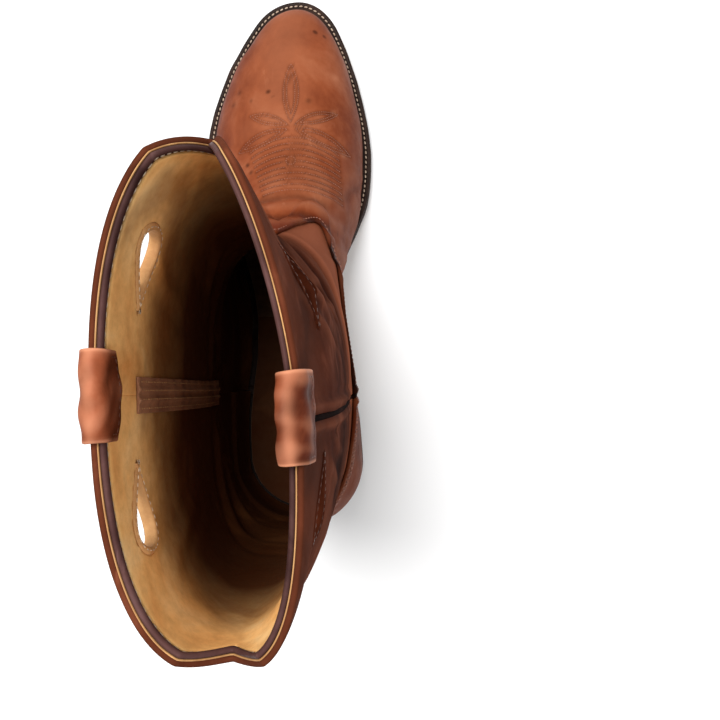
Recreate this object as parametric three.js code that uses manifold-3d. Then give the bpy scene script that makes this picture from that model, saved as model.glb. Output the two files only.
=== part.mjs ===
// A left cowboy boot, built up the way a bootmaker builds one: a welted leather sole on a stacked
// heel, a vamp and a counter over a two-panel shaft, linings, stiffeners, pull holes and pull straps.
// Millimetres. +Z is up, +Y points to the toe and +X to the inner side of the foot. The pieces are
// drawn with y counted from under the ankle, and the group is moved at the end so that the origin
// is the middle of the heel cap's underside, on the floor.

import * as THREE from 'three';
import Module from 'manifold-3d';
import { mergeVertices } from 'three/addons/utils/BufferGeometryUtils.js';

const wasm = await Module();
wasm.setup();
const { lerp, smoothstep } = THREE.MathUtils;

// ---------------------------------------------------------------- driving dimensions

const GAP = 0.3;                 // clearance between touching pieces
const SHAFT_LEATHER = 2.0;       // outer leather of the shaft, vamp and counter
const LINING = 1.2;
const STIFFENER = 1.8;           // heel stiffener
const TOE_BOX = 1.3;
const LAP_CLEAR = 0.5;           // room between the shaft panel and the leather that laps over it

const SOLE_BACK = -50;           // the outsole's ends along Y
const SOLE_TOE = 269.6;
const SOLE_TOE_ROUND = 40;       // length over which the sole's toe rounds off
const SOLE_HEEL_ROUND = 34;
const UPPER_TOE_ROUND = 36;
const UPPER_HEEL_ROUND = 34;
const FEATHER_TUCK = 2.2;        // how far the upper draws in where it meets the welt
const FEATHER_TUCK_FADE = 5;
const FEATHER_INSET = 1.5;       // from the sole's edge to the upper's, at the narrow waist

const OUTSOLE_T = 5;
const WELT_T = 3;
const WELT_CLEAR = 0.6;          // between the outsole and the welt
const FEATHER_RISE = OUTSOLE_T + WELT_CLEAR + WELT_T + GAP;   // up from the sole's underside
const UPPER_CLEAR = 0.5;         // the upper's edge stands this much further off the welt
const INSOLE_T = 2.8;
const WELT_WIDTH = 11.5;
const WELT_END_Y = 27;           // where the welt stops and the heel rand starts
const SHANK_HALF_WIDTH = 7;
const SHANK_T = 1.6;

const HEEL_TOP = 36.1;           // top of the stacked heel, under the outsole
const HEEL_CAP_T = 6;
const HEEL_LIFTS = 4;
const HEEL_NAILS = 7;
const NAIL_R = 1.1;
const NAIL_BOTTOM = 0.5;
const NAIL_SIDES = 8;

const SEAM_HALF = 1.5;           // half of the gap between the two panels at a side seam
const PIPING_HALF = 1.1;
const BINDING_DROP = 2.6;        // how far the top binding reaches down over the lining
const BINDING_RISE = 0.5;
const STRAP_WIDTH = 30;
const STRAP_T = 1.8;
const STRAP_RISE = 6.8;          // top of a pull strap above the rim
const STRAP_OUTER_LEG = 9;
const STRAP_INNER_LEG = 15;
const TAPE_HALF = 6;             // seam tape inside the shaft
const TAPE_T = 0.8;
const TAPE_START = 1.2;          // the tape's ends, in rows of the grid below the rim
const TAPE_END = 5;

const HOLE_LENGTH = 30;          // pull hole, from its round end to its point
const HOLE_HALF = 14;
const HOLE_DROP = 29;            // middle of a pull hole below the rim
const HOLE_RIM = 0.8;            // thickness of the binding inside a pull hole

// ---------------------------------------------------------------- curves

// A smooth curve through [x, y] points that never overshoots them.
function curveThrough(points) {
  const n = points.length;
  const slope = [];
  for (let i = 0; i < n - 1; i++) {
    slope.push((points[i + 1][1] - points[i][1]) / (points[i + 1][0] - points[i][0]));
  }
  const tangent = [slope[0]];
  for (let i = 1; i < n - 1; i++) {
    const same = slope[i - 1] * slope[i] > 0;
    tangent.push(same ? 2 * slope[i - 1] * slope[i] / (slope[i - 1] + slope[i]) : 0);
  }
  tangent.push(slope[n - 2]);
  return x => {
    if (x <= points[0][0]) return points[0][1] + tangent[0] * (x - points[0][0]);
    if (x >= points[n - 1][0]) return points[n - 1][1] + tangent[n - 1] * (x - points[n - 1][0]);
    let i = 0;
    while (x > points[i + 1][0]) i++;
    const width = points[i + 1][0] - points[i][0];
    const t = (x - points[i][0]) / width;
    const a = (1 + 2 * t) * (1 - t) ** 2;
    const b = t * (1 - t) ** 2;
    const c = t * t * (3 - 2 * t);
    const d = t * t * (t - 1);
    return a * points[i][1] + b * width * tangent[i] + c * points[i + 1][1] + d * width * tangent[i + 1];
  };
}

// 0 at the end of an outline, rising as a circle does to 1 at a distance r from it.
const roundEnd = (distance, r) =>
  (distance >= r ? 1 : Math.sqrt(Math.max(0, 1 - (1 - distance / r) ** 2)));

// The underside of the outsole: heel seat, shank, a flat tread at the ball, and toe spring.
const soleBottom = curveThrough([
  [-50, 36.4], [26, 36.4], [46, 33], [70, 26], [95, 16.8], [118, 8.4], [140, 2.8], [158, 0.6],
  [172, 0], [198, 0], [215, 0.6], [235, 2.6], [255, 6.2], [270, 9.6],
]);
const feather = y => soleBottom(y) + FEATHER_RISE + UPPER_CLEAR;

// The line down the middle of the toe and instep, across the boot.
const middle = curveThrough([[-60, 3.3], [0, 1.2], [100, -0.3], [180, 2.1], [270, 3.1]]);

// Half widths of the outsole from that line, before its ends are rounded.
const soleInner = curveThrough([
  [-50, 34], [-14, 35.2], [6, 34.6], [28, 31], [46, 26.5], [64, 24], [82, 23.5], [105, 28.5],
  [125, 36.5], [144, 42.6], [160, 44.1], [172, 44.3], [188, 43], [205, 40], [220, 36.5],
  [236, 31.8], [250, 29.8], [270, 30],
]);
const soleOuter = curveThrough([
  [-50, 34], [-12, 36], [8, 35.4], [28, 33], [48, 30.4], [66, 30.4], [84, 33], [104, 38.8], [125, 47],
  [150, 55.6], [170, 58.8], [185, 58.8], [200, 56.2], [214, 51.6], [228, 45.8], [242, 39.4],
  [256, 36.4], [270, 37.4],
]);

// Half widths of the leather upper above the sole's edge.
const upperInner = curveThrough([
  [-50, 35], [-12, 36], [18, 35.5], [42, 32], [54, 30.2], [67, 29], [80, 29.2], [92, 30.6], [104, 33],
  [118, 35.8], [131, 38.2], [145, 39.8], [158, 40.4], [172, 40.3], [188, 39.2], [205, 36], [220, 32.5],
  [236, 27.8], [250, 26], [266, 26],
]);
const upperOuter = curveThrough([
  [-50, 35], [-12, 36.5], [40, 36], [60, 35.5], [80, 36.5], [100, 39.5], [125, 46.5], [150, 53],
  [170, 53.8], [185, 52.6], [200, 49.2], [214, 44.2], [228, 38.2], [242, 32], [256, 30], [266, 30],
]);

// The profile of the boot from the side, as y and z against v: 0 at the welt, 1 at the rim.
const frontY = curveThrough([
  [0, 261.6], [0.06, 260.2], [0.12, 254.2], [0.2, 238.4], [0.3, 208], [0.4, 169], [0.48, 138],
  [0.55, 114], [0.62, 99], [0.7, 93], [0.8, 95], [0.9, 98.5], [1, 101.5],
]);
const frontZ = curveThrough([
  [0, feather(261.6)], [0.06, 27], [0.12, 34.5], [0.2, 43.5], [0.3, 55.5], [0.4, 69], [0.48, 84],
  [0.55, 104], [0.62, 130], [0.7, 162], [0.8, 205], [0.9, 250], [1, 294],
]);
const backY = curveThrough([
  [0, -47.5], [0.06, -49.2], [0.12, -50], [0.2, -49.6], [0.3, -48], [0.4, -46.6], [0.48, -47],
  [0.55, -49], [0.62, -51.6], [0.7, -54], [0.8, -57], [0.9, -59], [1, -60],
]);
const backZ = curveThrough([
  [0, feather(-47.5)], [0.06, 52.5], [0.12, 60], [0.2, 70], [0.3, 84], [0.4, 101], [0.48, 117],
  [0.55, 135], [0.62, 156], [0.7, 183], [0.8, 221], [0.9, 257], [1, 293],
]);

// Where a side seam runs, and the shaft's half widths against height.
const seamY = {
  inner: curveThrough([[0, 24], [0.45, 20], [1, 12]]),
  outer: curveThrough([[0, 26], [0.45, 24], [1, 21]]),
};
const shaftInner = curveThrough([
  [75, 33.5], [110, 33], [150, 34], [215, 34.6], [250, 33.6], [278, 30], [300, 26.6],
]);
const shaftOuter = curveThrough([
  [75, 36], [110, 35], [150, 34], [215, 33.2], [262, 33.2], [300, 34.4],
]);

// The front of the shaft is folded flat on the inner side: its half width there, as a share of the
// full one, from the side seam forward to the front middle.
const foldedFront = curveThrough([
  [0.5, 1], [0.68, 0.98], [0.72, 0.89], [0.75, 0.79], [0.78, 0.67], [0.81, 0.54], [0.86, 0.42],
  [0.92, 0.29], [1, 0.12],
]);

const RIM_CROWN = 5;             // the rim stands higher at the sides than on its ends
const FRONT_NOTCH = 19;          // V-shaped dip at the front of the rim
const FRONT_NOTCH_FROM = 0.68;
const BACK_NOTCH = 13;
const BACK_NOTCH_FROM = 0.8;

// The lines along which the vamp and the counter lap over the shaft panels, as v against a.
const lapLine = curveThrough([[-1, 0.455], [-0.5, 0.43], [0, 0.41], [0.45, 0.44], [0.8, 0.52], [1, 0.58]]);
const LAP = 0.035;

// Height of the front profile over the foot, by sampling it from the toe to the ankle.
const RIDGE_TOP_V = 0.7;
const ridgeSamples = Array.from({ length: 141 }, (_, i) => {
  const v = RIDGE_TOP_V * (1 - i / 140);
  return [frontY(v), frontZ(v)];
});
function ridge(y) {
  const [first, last] = [ridgeSamples[0], ridgeSamples[ridgeSamples.length - 1]];
  if (y <= first[0]) return first[1] + 12 * (first[0] - y);
  if (y >= last[0]) return last[1];
  let i = 0;
  while (y > ridgeSamples[i + 1][0]) i++;
  const [y0, z0] = ridgeSamples[i];
  const [y1, z1] = ridgeSamples[i + 1];
  return lerp(z0, z1, (y - y0) / (y1 - y0));
}

// ---------------------------------------------------------------- the outer skin

// Round the boot, c goes 0 inner seam, 1 front middle, 2 outer seam, 3 back middle, 4 inner seam.
// On either side, a is 0 at the side seam, 1 at the front middle and -1 at the back middle.
function sideOf(c) {
  const turn = ((c % 4) + 4) % 4;
  if (turn <= 1) return { inner: true, a: turn };
  if (turn <= 3) return { inner: false, a: 2 - turn };
  return { inner: true, a: turn - 4 };
}

const footDome = curveThrough([[80, 1.4], [130, 1.6], [180, 2.0], [230, 2.6], [266, 3.2]]);

// How far the upper draws in at the welt. At the waist it is wider than the sole, and tucks under.
function tuckAt(inner, y) {
  const overhang = inner ? upperInner(y) - soleInner(y) : upperOuter(y) - soleOuter(y);
  return Math.max(FEATHER_TUCK, overhang + FEATHER_INSET);
}

function footHalfWidth(inner, y, z, v) {
  const plan = (inner ? upperInner : upperOuter)(y);
  const tuck = tuckAt(inner, y);
  const ends = roundEnd(y - backY(v), UPPER_HEEL_ROUND) * roundEnd(frontY(0) - y, UPPER_TOE_ROUND);
  const base = feather(y);
  const rise = Math.max(0, z - base);
  const height = Math.min(1, rise / Math.max(1, ridge(y) - base));
  const dome = Math.sqrt(Math.max(0, 1 - height ** footDome(y)));
  return ends * dome * (plan - tuck * Math.exp(-rise / (FEATHER_TUCK_FADE + tuck - FEATHER_TUCK)));
}

// An oval end to the shaft: 1 at its middle, 0 at its end, squarer as the power rises.
const oval = (t, power) => Math.max(0, 1 - Math.abs(2 * t - 1) ** power) ** (1 / power);

function shaftHalfWidth(inner, z, t) {
  const atHoles = smoothstep(z, 205, 262);
  const atRim = smoothstep(z, 262, 298);
  if (!inner) return shaftOuter(z) * oval(t, t < 0.5 ? lerp(3.1, 2.6, atHoles) : lerp(2.6, 2.2, atHoles));
  if (t < 0.5) return shaftInner(z) * oval(t, lerp(1.9, 2.8, atRim));
  const folded = Math.min(foldedFront(t), oval(t, 2));
  const fold = smoothstep(z, 140, 190) * (1 - smoothstep(z, 255, 292));
  return shaftInner(z) * lerp(oval(t, z > 220 ? 1.5 : 2), folded, fold);
}

function rimShape(a) {
  const frontNotch = FRONT_NOTCH * Math.max(0, (a - FRONT_NOTCH_FROM) / (1 - FRONT_NOTCH_FROM));
  const backNotch = BACK_NOTCH * Math.max(0, (-a - BACK_NOTCH_FROM) / (1 - BACK_NOTCH_FROM));
  return RIM_CROWN * (1 - a * a) - frontNotch - backNotch;
}

// A point of the outer skin.
function skin(c, v) {
  const { inner, a } = sideOf(c);
  const [yb, yf, zb, zf] = [backY(v), frontY(v), backZ(v), frontZ(v)];
  const seam = ((inner ? seamY.inner : seamY.outer)(v) - yb) / (yf - yb);
  const t = a >= 0 ? 1 - (1 - seam) * (1 - a) ** 2 : seam * (1 + a) ** 2;
  const y = lerp(yb, yf, t);
  const sole0 = feather(lerp(backY(0), frontY(0), t)) - lerp(backZ(0), frontZ(0), t);
  const z = lerp(zb, zf, t) + sole0 * Math.max(0, 1 - v / 0.5) ** 2 + rimShape(a) * smoothstep(v, 0.7, 1);
  const onShaft = smoothstep(z, 72, 135);
  const half = lerp(footHalfWidth(inner, y, z, v), shaftHalfWidth(inner, z, t), onShaft);
  return new THREE.Vector3(middle(y) + (inner ? half : -half), y, z);
}

const STEP = 1e-3;               // for slopes up the skin
const STEP_ROUND = 1e-2;         // and round it, wide enough to span the middle lines

// The skin's directions at a point. At the welt the normal is kept level, so that the leather
// stands on the welt whatever its offset.
function skinFrame(c, v) {
  const along = skin(c + STEP_ROUND, v).sub(skin(c - STEP_ROUND, v)).multiplyScalar(0.5 / STEP_ROUND);
  const low = Math.max(0, v - STEP);
  const high = Math.min(1, v + STEP);
  const up = skin(c, high).sub(skin(c, low)).divideScalar(high - low);
  const normal = new THREE.Vector3().crossVectors(along, up);
  if (v < STEP) normal.setZ(0);
  return { point: skin(c, v), along, up, normal: normal.normalize() };
}

// A point off the skin: d is the distance out along its normal.
function offSkin(c, v, d) {
  const { point, normal } = skinFrame(c, v);
  return point.addScaledVector(normal, d);
}

// A point off the wall near the rim: s is the distance down from the rim, or up from it when negative.
function offRim(c, s, d) {
  const { point, up, normal } = skinFrame(c, 1);
  if (s > 0) return offSkin(c, 1 - s / up.length(), d);
  const level = new THREE.Vector3(normal.x, normal.y, 0).normalize();
  return point.addScaledVector(level, d).add(new THREE.Vector3(0, 0, -s));
}

// ---------------------------------------------------------------- solids

function signedVolume(points, faces) {
  const cross = new THREE.Vector3();
  return faces.reduce((sum, [i, j, k]) => (
    sum + points[i].dot(cross.crossVectors(points[j], points[k])) / 6), 0);
}

function solid(points, faces) {
  const outward = signedVolume(points, faces) > 0;
  const geometry = new THREE.BufferGeometry();
  geometry.setAttribute('position', new THREE.Float32BufferAttribute(points.flatMap(p => p.toArray()), 3));
  geometry.setIndex(faces.flatMap(([i, j, k]) => (outward ? [i, j, k] : [i, k, j])));
  return geometry;
}

// A closed solid through matching loops of points: open ends are capped, a closed path joins up.
function loft(loops, closedPath = false) {
  const count = loops[0].length;
  const points = loops.flat();
  const faces = [];
  const at = (i, j) => (i % loops.length) * count + (j % count);
  const spans = closedPath ? loops.length : loops.length - 1;
  for (let i = 0; i < spans; i++) {
    for (let j = 0; j < count; j++) {
      faces.push([at(i, j), at(i + 1, j), at(i + 1, j + 1)]);
      faces.push([at(i, j), at(i + 1, j + 1), at(i, j + 1)]);
    }
  }
  if (!closedPath) {
    for (const [i, flip] of [[0, false], [loops.length - 1, true]]) {
      for (const [p, q, r] of capFaces(loops[i])) {
        faces.push(flip ? [at(i, p), at(i, r), at(i, q)] : [at(i, p), at(i, q), at(i, r)]);
      }
    }
  }
  return solid(points, faces);
}

// Triangles over a nearly flat loop, wound the way the loop runs.
function capFaces(loop) {
  const normal = new THREE.Vector3();
  for (let i = 1; i < loop.length - 1; i++) {
    const p = loop[i].clone().sub(loop[0]);
    normal.add(p.cross(loop[i + 1].clone().sub(loop[0])));
  }
  const u = loop[1].clone().sub(loop[0]).normalize();
  const w = normal.clone().normalize().cross(u).normalize();
  const flat = loop.map(p => new THREE.Vector2(p.dot(u), p.dot(w)));
  return THREE.ShapeUtils.triangulateShape(flat, []);
}

// A sheet of leather between two offsets from the skin, over a grid of columns and rows.
// rowAt(c, i) gives v; outer and inner give the offsets for a row number.
function sheet(columns, rowAt, rows, outer, inner) {
  const faceGrid = offset => rows.map(i => columns.map(c => offSkin(c, rowAt(c, i), offset(i, c))));
  const [front, back] = [faceGrid(outer), faceGrid(inner)];
  const loops = columns.map((_, j) => [...front.map(row => row[j]), ...back.map(row => row[j]).reverse()]);
  return loftWithGridCaps(loops, rows.length);
}

// The same as loft for a thin closed section, capping its two ends as a ladder.
function loftWithGridCaps(loops, rowCount) {
  const count = loops[0].length;
  const points = loops.flat();
  const faces = [];
  const at = (i, j) => i * count + (j % count);
  for (let i = 0; i < loops.length - 1; i++) {
    for (let j = 0; j < count; j++) {
      const mirrored = j >= rowCount && j < count - 1;
      if (mirrored) {
        faces.push([at(i, j), at(i + 1, j), at(i, j + 1)]);
        faces.push([at(i + 1, j), at(i + 1, j + 1), at(i, j + 1)]);
      } else {
        faces.push([at(i, j), at(i + 1, j), at(i + 1, j + 1)]);
        faces.push([at(i, j), at(i + 1, j + 1), at(i, j + 1)]);
      }
    }
  }
  for (const [i, flip] of [[0, false], [loops.length - 1, true]]) {
    for (let j = 0; j < rowCount - 1; j++) {
      const [p, q, r, s] = [at(i, j), at(i, j + 1), at(i, count - 2 - j), at(i, count - 1 - j)];
      faces.push(flip ? [p, r, q] : [p, q, r]);
      faces.push(flip ? [p, s, r] : [p, r, s]);
    }
  }
  return solid(points, faces);
}

// A slab between two ladders of rungs, each rung an inner and an outer point.
function slab(bottom, top) {
  const loopOf = rungs => [...rungs.map(r => r[0]), ...rungs.map(r => r[1]).reverse()];
  const [low, high] = [loopOf(bottom), loopOf(top)];
  const count = low.length;
  const rungs = bottom.length;
  const points = [...low, ...high];
  const faces = [];
  for (let j = 0; j < count; j++) {
    const k = (j + 1) % count;
    faces.push([j, k, count + k], [j, count + k, count + j]);
  }
  for (let j = 0; j < rungs - 1; j++) {
    const [p, q, r, s] = [j, j + 1, count - 2 - j, count - 1 - j];
    faces.push([p, r, q], [p, s, r]);
    faces.push([count + p, count + q, count + r], [count + p, count + r, count + s]);
  }
  return solid(points, faces);
}

function toManifold(geometry) {
  const bare = new THREE.BufferGeometry();
  bare.setAttribute('position', geometry.getAttribute('position').clone());
  if (geometry.index) bare.setIndex(geometry.index.clone());
  const merged = mergeVertices(bare, 1e-4);
  return new wasm.Manifold(new wasm.Mesh({
    numProp: 3,
    vertProperties: new Float32Array(merged.getAttribute('position').array),
    triVerts: new Uint32Array(merged.index.array),
  }));
}

function cutAway(geometry, cutters) {
  let body = toManifold(geometry);
  for (const cutter of cutters) body = body.subtract(toManifold(cutter));
  const mesh = body.getMesh();
  const result = new THREE.BufferGeometry();
  result.setAttribute('position', new THREE.Float32BufferAttribute(mesh.vertProperties, 3));
  result.setIndex(new THREE.Uint32BufferAttribute(mesh.triVerts, 1));
  return result;
}

// ---------------------------------------------------------------- materials and meshes

const LEATHER_BROWN = { color: 0x8a4c2e, roughness: 0.42, metalness: 0 };
const LEATHER_DARK = { color: 0x37211a, roughness: 0.5, metalness: 0 };
const LINING_TAN = { color: 0xb98650, roughness: 0.75, metalness: 0 };
const SOLE_EDGE = { color: 0x33241d, roughness: 0.55, metalness: 0 };
const INSOLE_TAN = { color: 0x9c7350, roughness: 0.8, metalness: 0 };
const CORK = { color: 0xa37b52, roughness: 0.95, metalness: 0 };
const STEEL = { color: 0x9da0a3, roughness: 0.35, metalness: 1 };
const BRASS = { color: 0xb8924a, roughness: 0.4, metalness: 1 };
const RUBBER = { color: 0x1b1a19, roughness: 0.9, metalness: 0 };

const boot = new THREE.Group();

function add(name, geometry, finish) {
  const mesh = new THREE.Mesh(geometry, new THREE.MeshStandardMaterial(finish));
  mesh.name = name;
  boot.add(mesh);
}

// ---------------------------------------------------------------- the grid of columns and rows

const FRONT_COLUMNS = [0.05, 0.1, 0.15, 0.21, 0.28, 0.36, 0.45, 0.56, 0.68, 0.8, 0.9];
const BACK_COLUMNS = [0.08, 0.17, 0.28, 0.42, 0.6, 0.8];
const ROWS_BELOW_LAP = 7;        // rows 0 to 7 run from the welt to the lap line
const LAP_TOP_ROW = ROWS_BELOW_LAP + 1;
const ROWS_TO_RIM = 8;
const RIM_ROW = LAP_TOP_ROW + ROWS_TO_RIM;

function rowV(c, i) {
  const start = lapLine(sideOf(c).a);
  if (i <= ROWS_BELOW_LAP) return start * (i / ROWS_BELOW_LAP) ** 0.9;
  return lerp(start + LAP, 1, (i - LAP_TOP_ROW) / ROWS_TO_RIM);
}

// How much c changes over a distance in millimetres round the wall at the side seam.
function seamStep(c, v, distance) {
  return distance / skinFrame(c, v).along.length();
}

// Columns over the front or the back of the boot, with a margin in millimetres at each side seam.
// The margin is kept in millimetres at every height, so a column there is a function of v.
const frontColumns = [...FRONT_COLUMNS, 1, ...FRONT_COLUMNS.map(a => 2 - a).reverse()];
const backColumns = [...BACK_COLUMNS.map(a => 2 + a), 3, ...BACK_COLUMNS.map(a => 4 - a).reverse()];

// A point at a row of the grid, d off the skin. Between two rows it lies on their chord, as the
// facets do.
function onGrid(columnAtV, nominal, row, d) {
  const low = Math.floor(row);
  const place = i => {
    const v = rowV(nominal, i);
    return offSkin(columnAtV(v), v, d);
  };
  return row === low ? place(row) : place(low).lerp(place(low + 1), row - low);
}

const range = (from, to) => Array.from({ length: to - from + 1 }, (_, i) => from + i);

// A sheet over the front or back half, stopping `margin` mm short of both side seams.
function halfSheet(front, rows, outer, inner, margin) {
  const seams = front ? [0, 2] : [2, 4];
  const between = front ? frontColumns : backColumns;
  const edge = (c, sign) => v => c + sign * seamStep(c, v, margin);
  const columns = [edge(seams[0], 1), ...between.map(c => () => c), edge(seams[1], -1)];
  const nominal = [seams[0], ...between, seams[1]];
  const loops = columns.map((column, j) => {
    const face = offset => rows.map(i => onGrid(column, nominal[j], i, offset(i, nominal[j])));
    return [...face(outer), ...face(inner).reverse()];
  });
  return loftWithGridCaps(loops, rows.length);
}

const constant = value => () => value;

// ---------------------------------------------------------------- outer leather

const lapOuter = i => (i >= ROWS_BELOW_LAP ? LAP_CLEAR + SHAFT_LEATHER - 0.2 : 0);
const lapInner = i => (i >= ROWS_BELOW_LAP ? LAP_CLEAR : -SHAFT_LEATHER);

function pullHoleCentre(c) {
  const { up } = skinFrame(c, 1);
  return 1 - HOLE_DROP / up.length();
}

// The pull holes sit either side of each side seam, with their points towards it.
const PULL_HOLES = [
  { name: 'inner_front', seam: 0, away: 1, distance: 44 },
  { name: 'inner_back', seam: 4, away: -1, distance: 26 },
  { name: 'outer_front', seam: 2, away: -1, distance: 42 },
  { name: 'outer_back', seam: 2, away: 1, distance: 36 },
];
const HOLE_POINTS = 20;
const ROUND_AT = 0.15;           // middle of the round part, from the hole's middle, in lengths

// Half width of the teardrop at a fraction f of its length from the point.
const teardrop = f =>
  Math.sqrt(Math.max(0, 1 - (1 - f) ** 2)) * Math.min(1, (f / 0.95) ** 0.6) * roundEnd(1 - f, 0.45);

// A pull hole's outline on the skin and the direction it is cut in. grow moves the outline outwards.
function pullHole(hole, grow) {
  const v = pullHoleCentre(hole.seam);
  const seamFrame = skinFrame(hole.seam, v);
  const c0 = hole.seam + hole.away * columnAt(hole, seamFrame.point, v);
  const { point, normal } = skinFrame(c0, v);
  const upright = new THREE.Vector3(0, 0, 1).addScaledVector(normal, -normal.z).normalize();
  const forward = new THREE.Vector3().crossVectors(upright, normal).multiplyScalar(hole.away).normalize();
  const outline = [];
  for (let i = 0; i < HOLE_POINTS; i++) {
    const angle = 2 * Math.PI * i / HOLE_POINTS;
    const f = (1 - Math.cos(angle)) / 2;
    const x = (f - 0.5) * HOLE_LENGTH;
    const y = Math.sign(Math.sin(angle)) * HOLE_HALF * teardrop(f);
    outline.push(new THREE.Vector2(x, Math.abs(Math.sin(angle)) < 1e-9 ? 0 : y));
  }
  const grown = growOutline(outline, grow);
  return { point, normal, upright, forward, outline: grown };
}

// How far round from the seam, in c, a distance along the wall reaches.
function columnAt(hole, from, v) {
  let step = 0;
  let travelled = 0;
  let last = from;
  while (travelled < hole.distance) {
    step += 0.002;
    const next = skin(hole.seam + hole.away * step, v);
    travelled += next.distanceTo(last);
    last = next;
  }
  return step;
}

// Scales an outline about the round part of the teardrop, so that its sides move out by grow.
function growOutline(outline, grow) {
  const centre = new THREE.Vector2(ROUND_AT * HOLE_LENGTH, 0);
  return outline.map(p => p.clone().sub(centre).multiplyScalar(1 + grow / HOLE_HALF).add(centre));
}

// A point of a hole's outline in space, on its middle plane moved d along the cutting direction.
function holePoint(hole, p, d) {
  return hole.point.clone()
    .addScaledVector(hole.forward, p.x)
    .addScaledVector(hole.upright, p.y)
    .addScaledVector(hole.normal, d);
}

// How deep the skin lies behind a hole's middle plane at an outline point.
function skinDepth(hole, p) {
  let c = hole.centre;
  let v = hole.level;
  for (let pass = 0; pass < 6; pass++) {
    const frame = skinFrame(c, v);
    const miss = holePoint(hole, p, 0).sub(frame.point);
    c += miss.dot(frame.along) / frame.along.lengthSq();
    v += miss.dot(frame.up) / frame.up.lengthSq();
  }
  return skin(c, v).sub(hole.point).dot(hole.normal);
}

const CUT_REACH = 14;
const HOLE_CLEAR = 0.5;          // between a pull hole's cut edge and its binding

function holeCutter(spec) {
  const hole = pullHole(spec, HOLE_CLEAR);
  const ring = d => hole.outline.map(p => holePoint(hole, p, d));
  return loft([ring(-CUT_REACH), ring(CUT_REACH)]);
}

function holeBinding(spec) {
  const v = pullHoleCentre(spec.seam);
  const centre = spec.seam + spec.away * columnAt(spec, skin(spec.seam, v), v);
  const outer = { ...pullHole(spec, 0), centre, level: v };
  const inner = { ...pullHole(spec, -HOLE_RIM), centre, level: v };
  const loops = outer.outline.map((p, i) => {
    const q = inner.outline[i];
    const depth = skinDepth(outer, p);
    const back = depth - SHAFT_LEATHER - LINING - 2 * GAP;
    const front = depth + 0.4;
    return [
      holePoint(outer, p, back), holePoint(outer, p, front),
      holePoint(inner, q, front), holePoint(inner, q, back),
    ];
  });
  return loft(loops, true);
}

const frontHoles = PULL_HOLES.filter(h => h.name.endsWith('front')).map(holeCutter);
const backHoles = PULL_HOLES.filter(h => h.name.endsWith('back')).map(holeCutter);

const shaftRows = range(ROWS_BELOW_LAP, RIM_ROW);
const footRows = range(0, LAP_TOP_ROW);

add('vamp', halfSheet(true, footRows, lapOuter, lapInner, SEAM_HALF), LEATHER_BROWN);
add('counter', halfSheet(false, footRows, lapOuter, lapInner, SEAM_HALF), LEATHER_BROWN);
add('shaft_front', cutAway(
  halfSheet(true, shaftRows, constant(0), constant(-SHAFT_LEATHER), SEAM_HALF), frontHoles), LEATHER_BROWN);
add('shaft_back', cutAway(
  halfSheet(false, shaftRows, constant(0), constant(-SHAFT_LEATHER), SEAM_HALF), backHoles), LEATHER_BROWN);

// The piping that fills a side seam, from the welt to just under the rim.
function sidePiping(seam) {
  const rows = range(0, RIM_ROW);
  const loops = rows.map(i => {
    const v = Math.min(rowV(seam, i), 0.995);
    const step = seamStep(seam, v, PIPING_HALF);
    const out = i >= ROWS_BELOW_LAP && i <= LAP_TOP_ROW ? LAP_CLEAR + 1.4 : 0.2;
    return [
      offSkin(seam - step, v, -SHAFT_LEATHER), offSkin(seam - step, v, out - 0.5), offSkin(seam, v, out),
      offSkin(seam + step, v, out - 0.5), offSkin(seam + step, v, -SHAFT_LEATHER),
    ];
  });
  return loft(loops);
}
add('side_piping_inner', sidePiping(0), LEATHER_DARK);
add('side_piping_outer', sidePiping(2), LEATHER_DARK);

// ---------------------------------------------------------------- linings and stiffeners

const UNDER_LEATHER = -SHAFT_LEATHER - GAP;
const STIFFENER_TOP_ROW = 6;     // the heel stiffener ends below the lap
const TOE_BOX_TOP_ROW = 2;
const LINING_SEAM_MARGIN = 0.2;

const heelLiningOuter = i => (i <= STIFFENER_TOP_ROW ? UNDER_LEATHER - STIFFENER - GAP : UNDER_LEATHER);
const heelLiningInner = i => heelLiningOuter(i) - LINING;
const toeLiningOuter = (i, c) => {
  const overToe = smoothstep(1 - Math.abs(c - 1), 0.3, 0.45) * (i <= TOE_BOX_TOP_ROW + 0.5 ? 1 : 0);
  return UNDER_LEATHER - overToe * (TOE_BOX + GAP);
};
const toeLiningInner = (i, c) => toeLiningOuter(i, c) - LINING;

const LINING_TOP = RIM_ROW - 0.16;   // the lining ends under the top binding
const liningRows = [...range(ROWS_BELOW_LAP, RIM_ROW - 1), LINING_TOP];
const liningOuter = constant(UNDER_LEATHER);
const liningInner = constant(UNDER_LEATHER - LINING);
const vampLiningRows = [...range(0, ROWS_BELOW_LAP - 1), ROWS_BELOW_LAP - 0.06];

add('vamp_lining', halfSheet(
  true, vampLiningRows, toeLiningOuter, toeLiningInner, LINING_SEAM_MARGIN), LINING_TAN);
add('lining_front', cutAway(
  halfSheet(true, liningRows, liningOuter, liningInner, LINING_SEAM_MARGIN), frontHoles), LINING_TAN);
const backLiningRows = [...range(0, RIM_ROW - 1), LINING_TOP];
add('lining_back', cutAway(
  halfSheet(false, backLiningRows, heelLiningOuter, heelLiningInner, LINING_SEAM_MARGIN),
  backHoles), LINING_TAN);

const toeColumns = frontColumns.filter(c => Math.abs(c - 1) < 0.52);
add('toe_box', sheet(toeColumns, rowV, range(0, TOE_BOX_TOP_ROW),
  constant(UNDER_LEATHER), constant(UNDER_LEATHER - TOE_BOX)), INSOLE_TAN);
const heelColumns = backColumns.filter(c => Math.abs(c - 3) < 0.95);
add('heel_stiffener', sheet(heelColumns, rowV, range(0, STIFFENER_TOP_ROW - 1),
  constant(UNDER_LEATHER), constant(UNDER_LEATHER - STIFFENER)), INSOLE_TAN);

// ---------------------------------------------------------------- rim, straps and tapes

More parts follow.
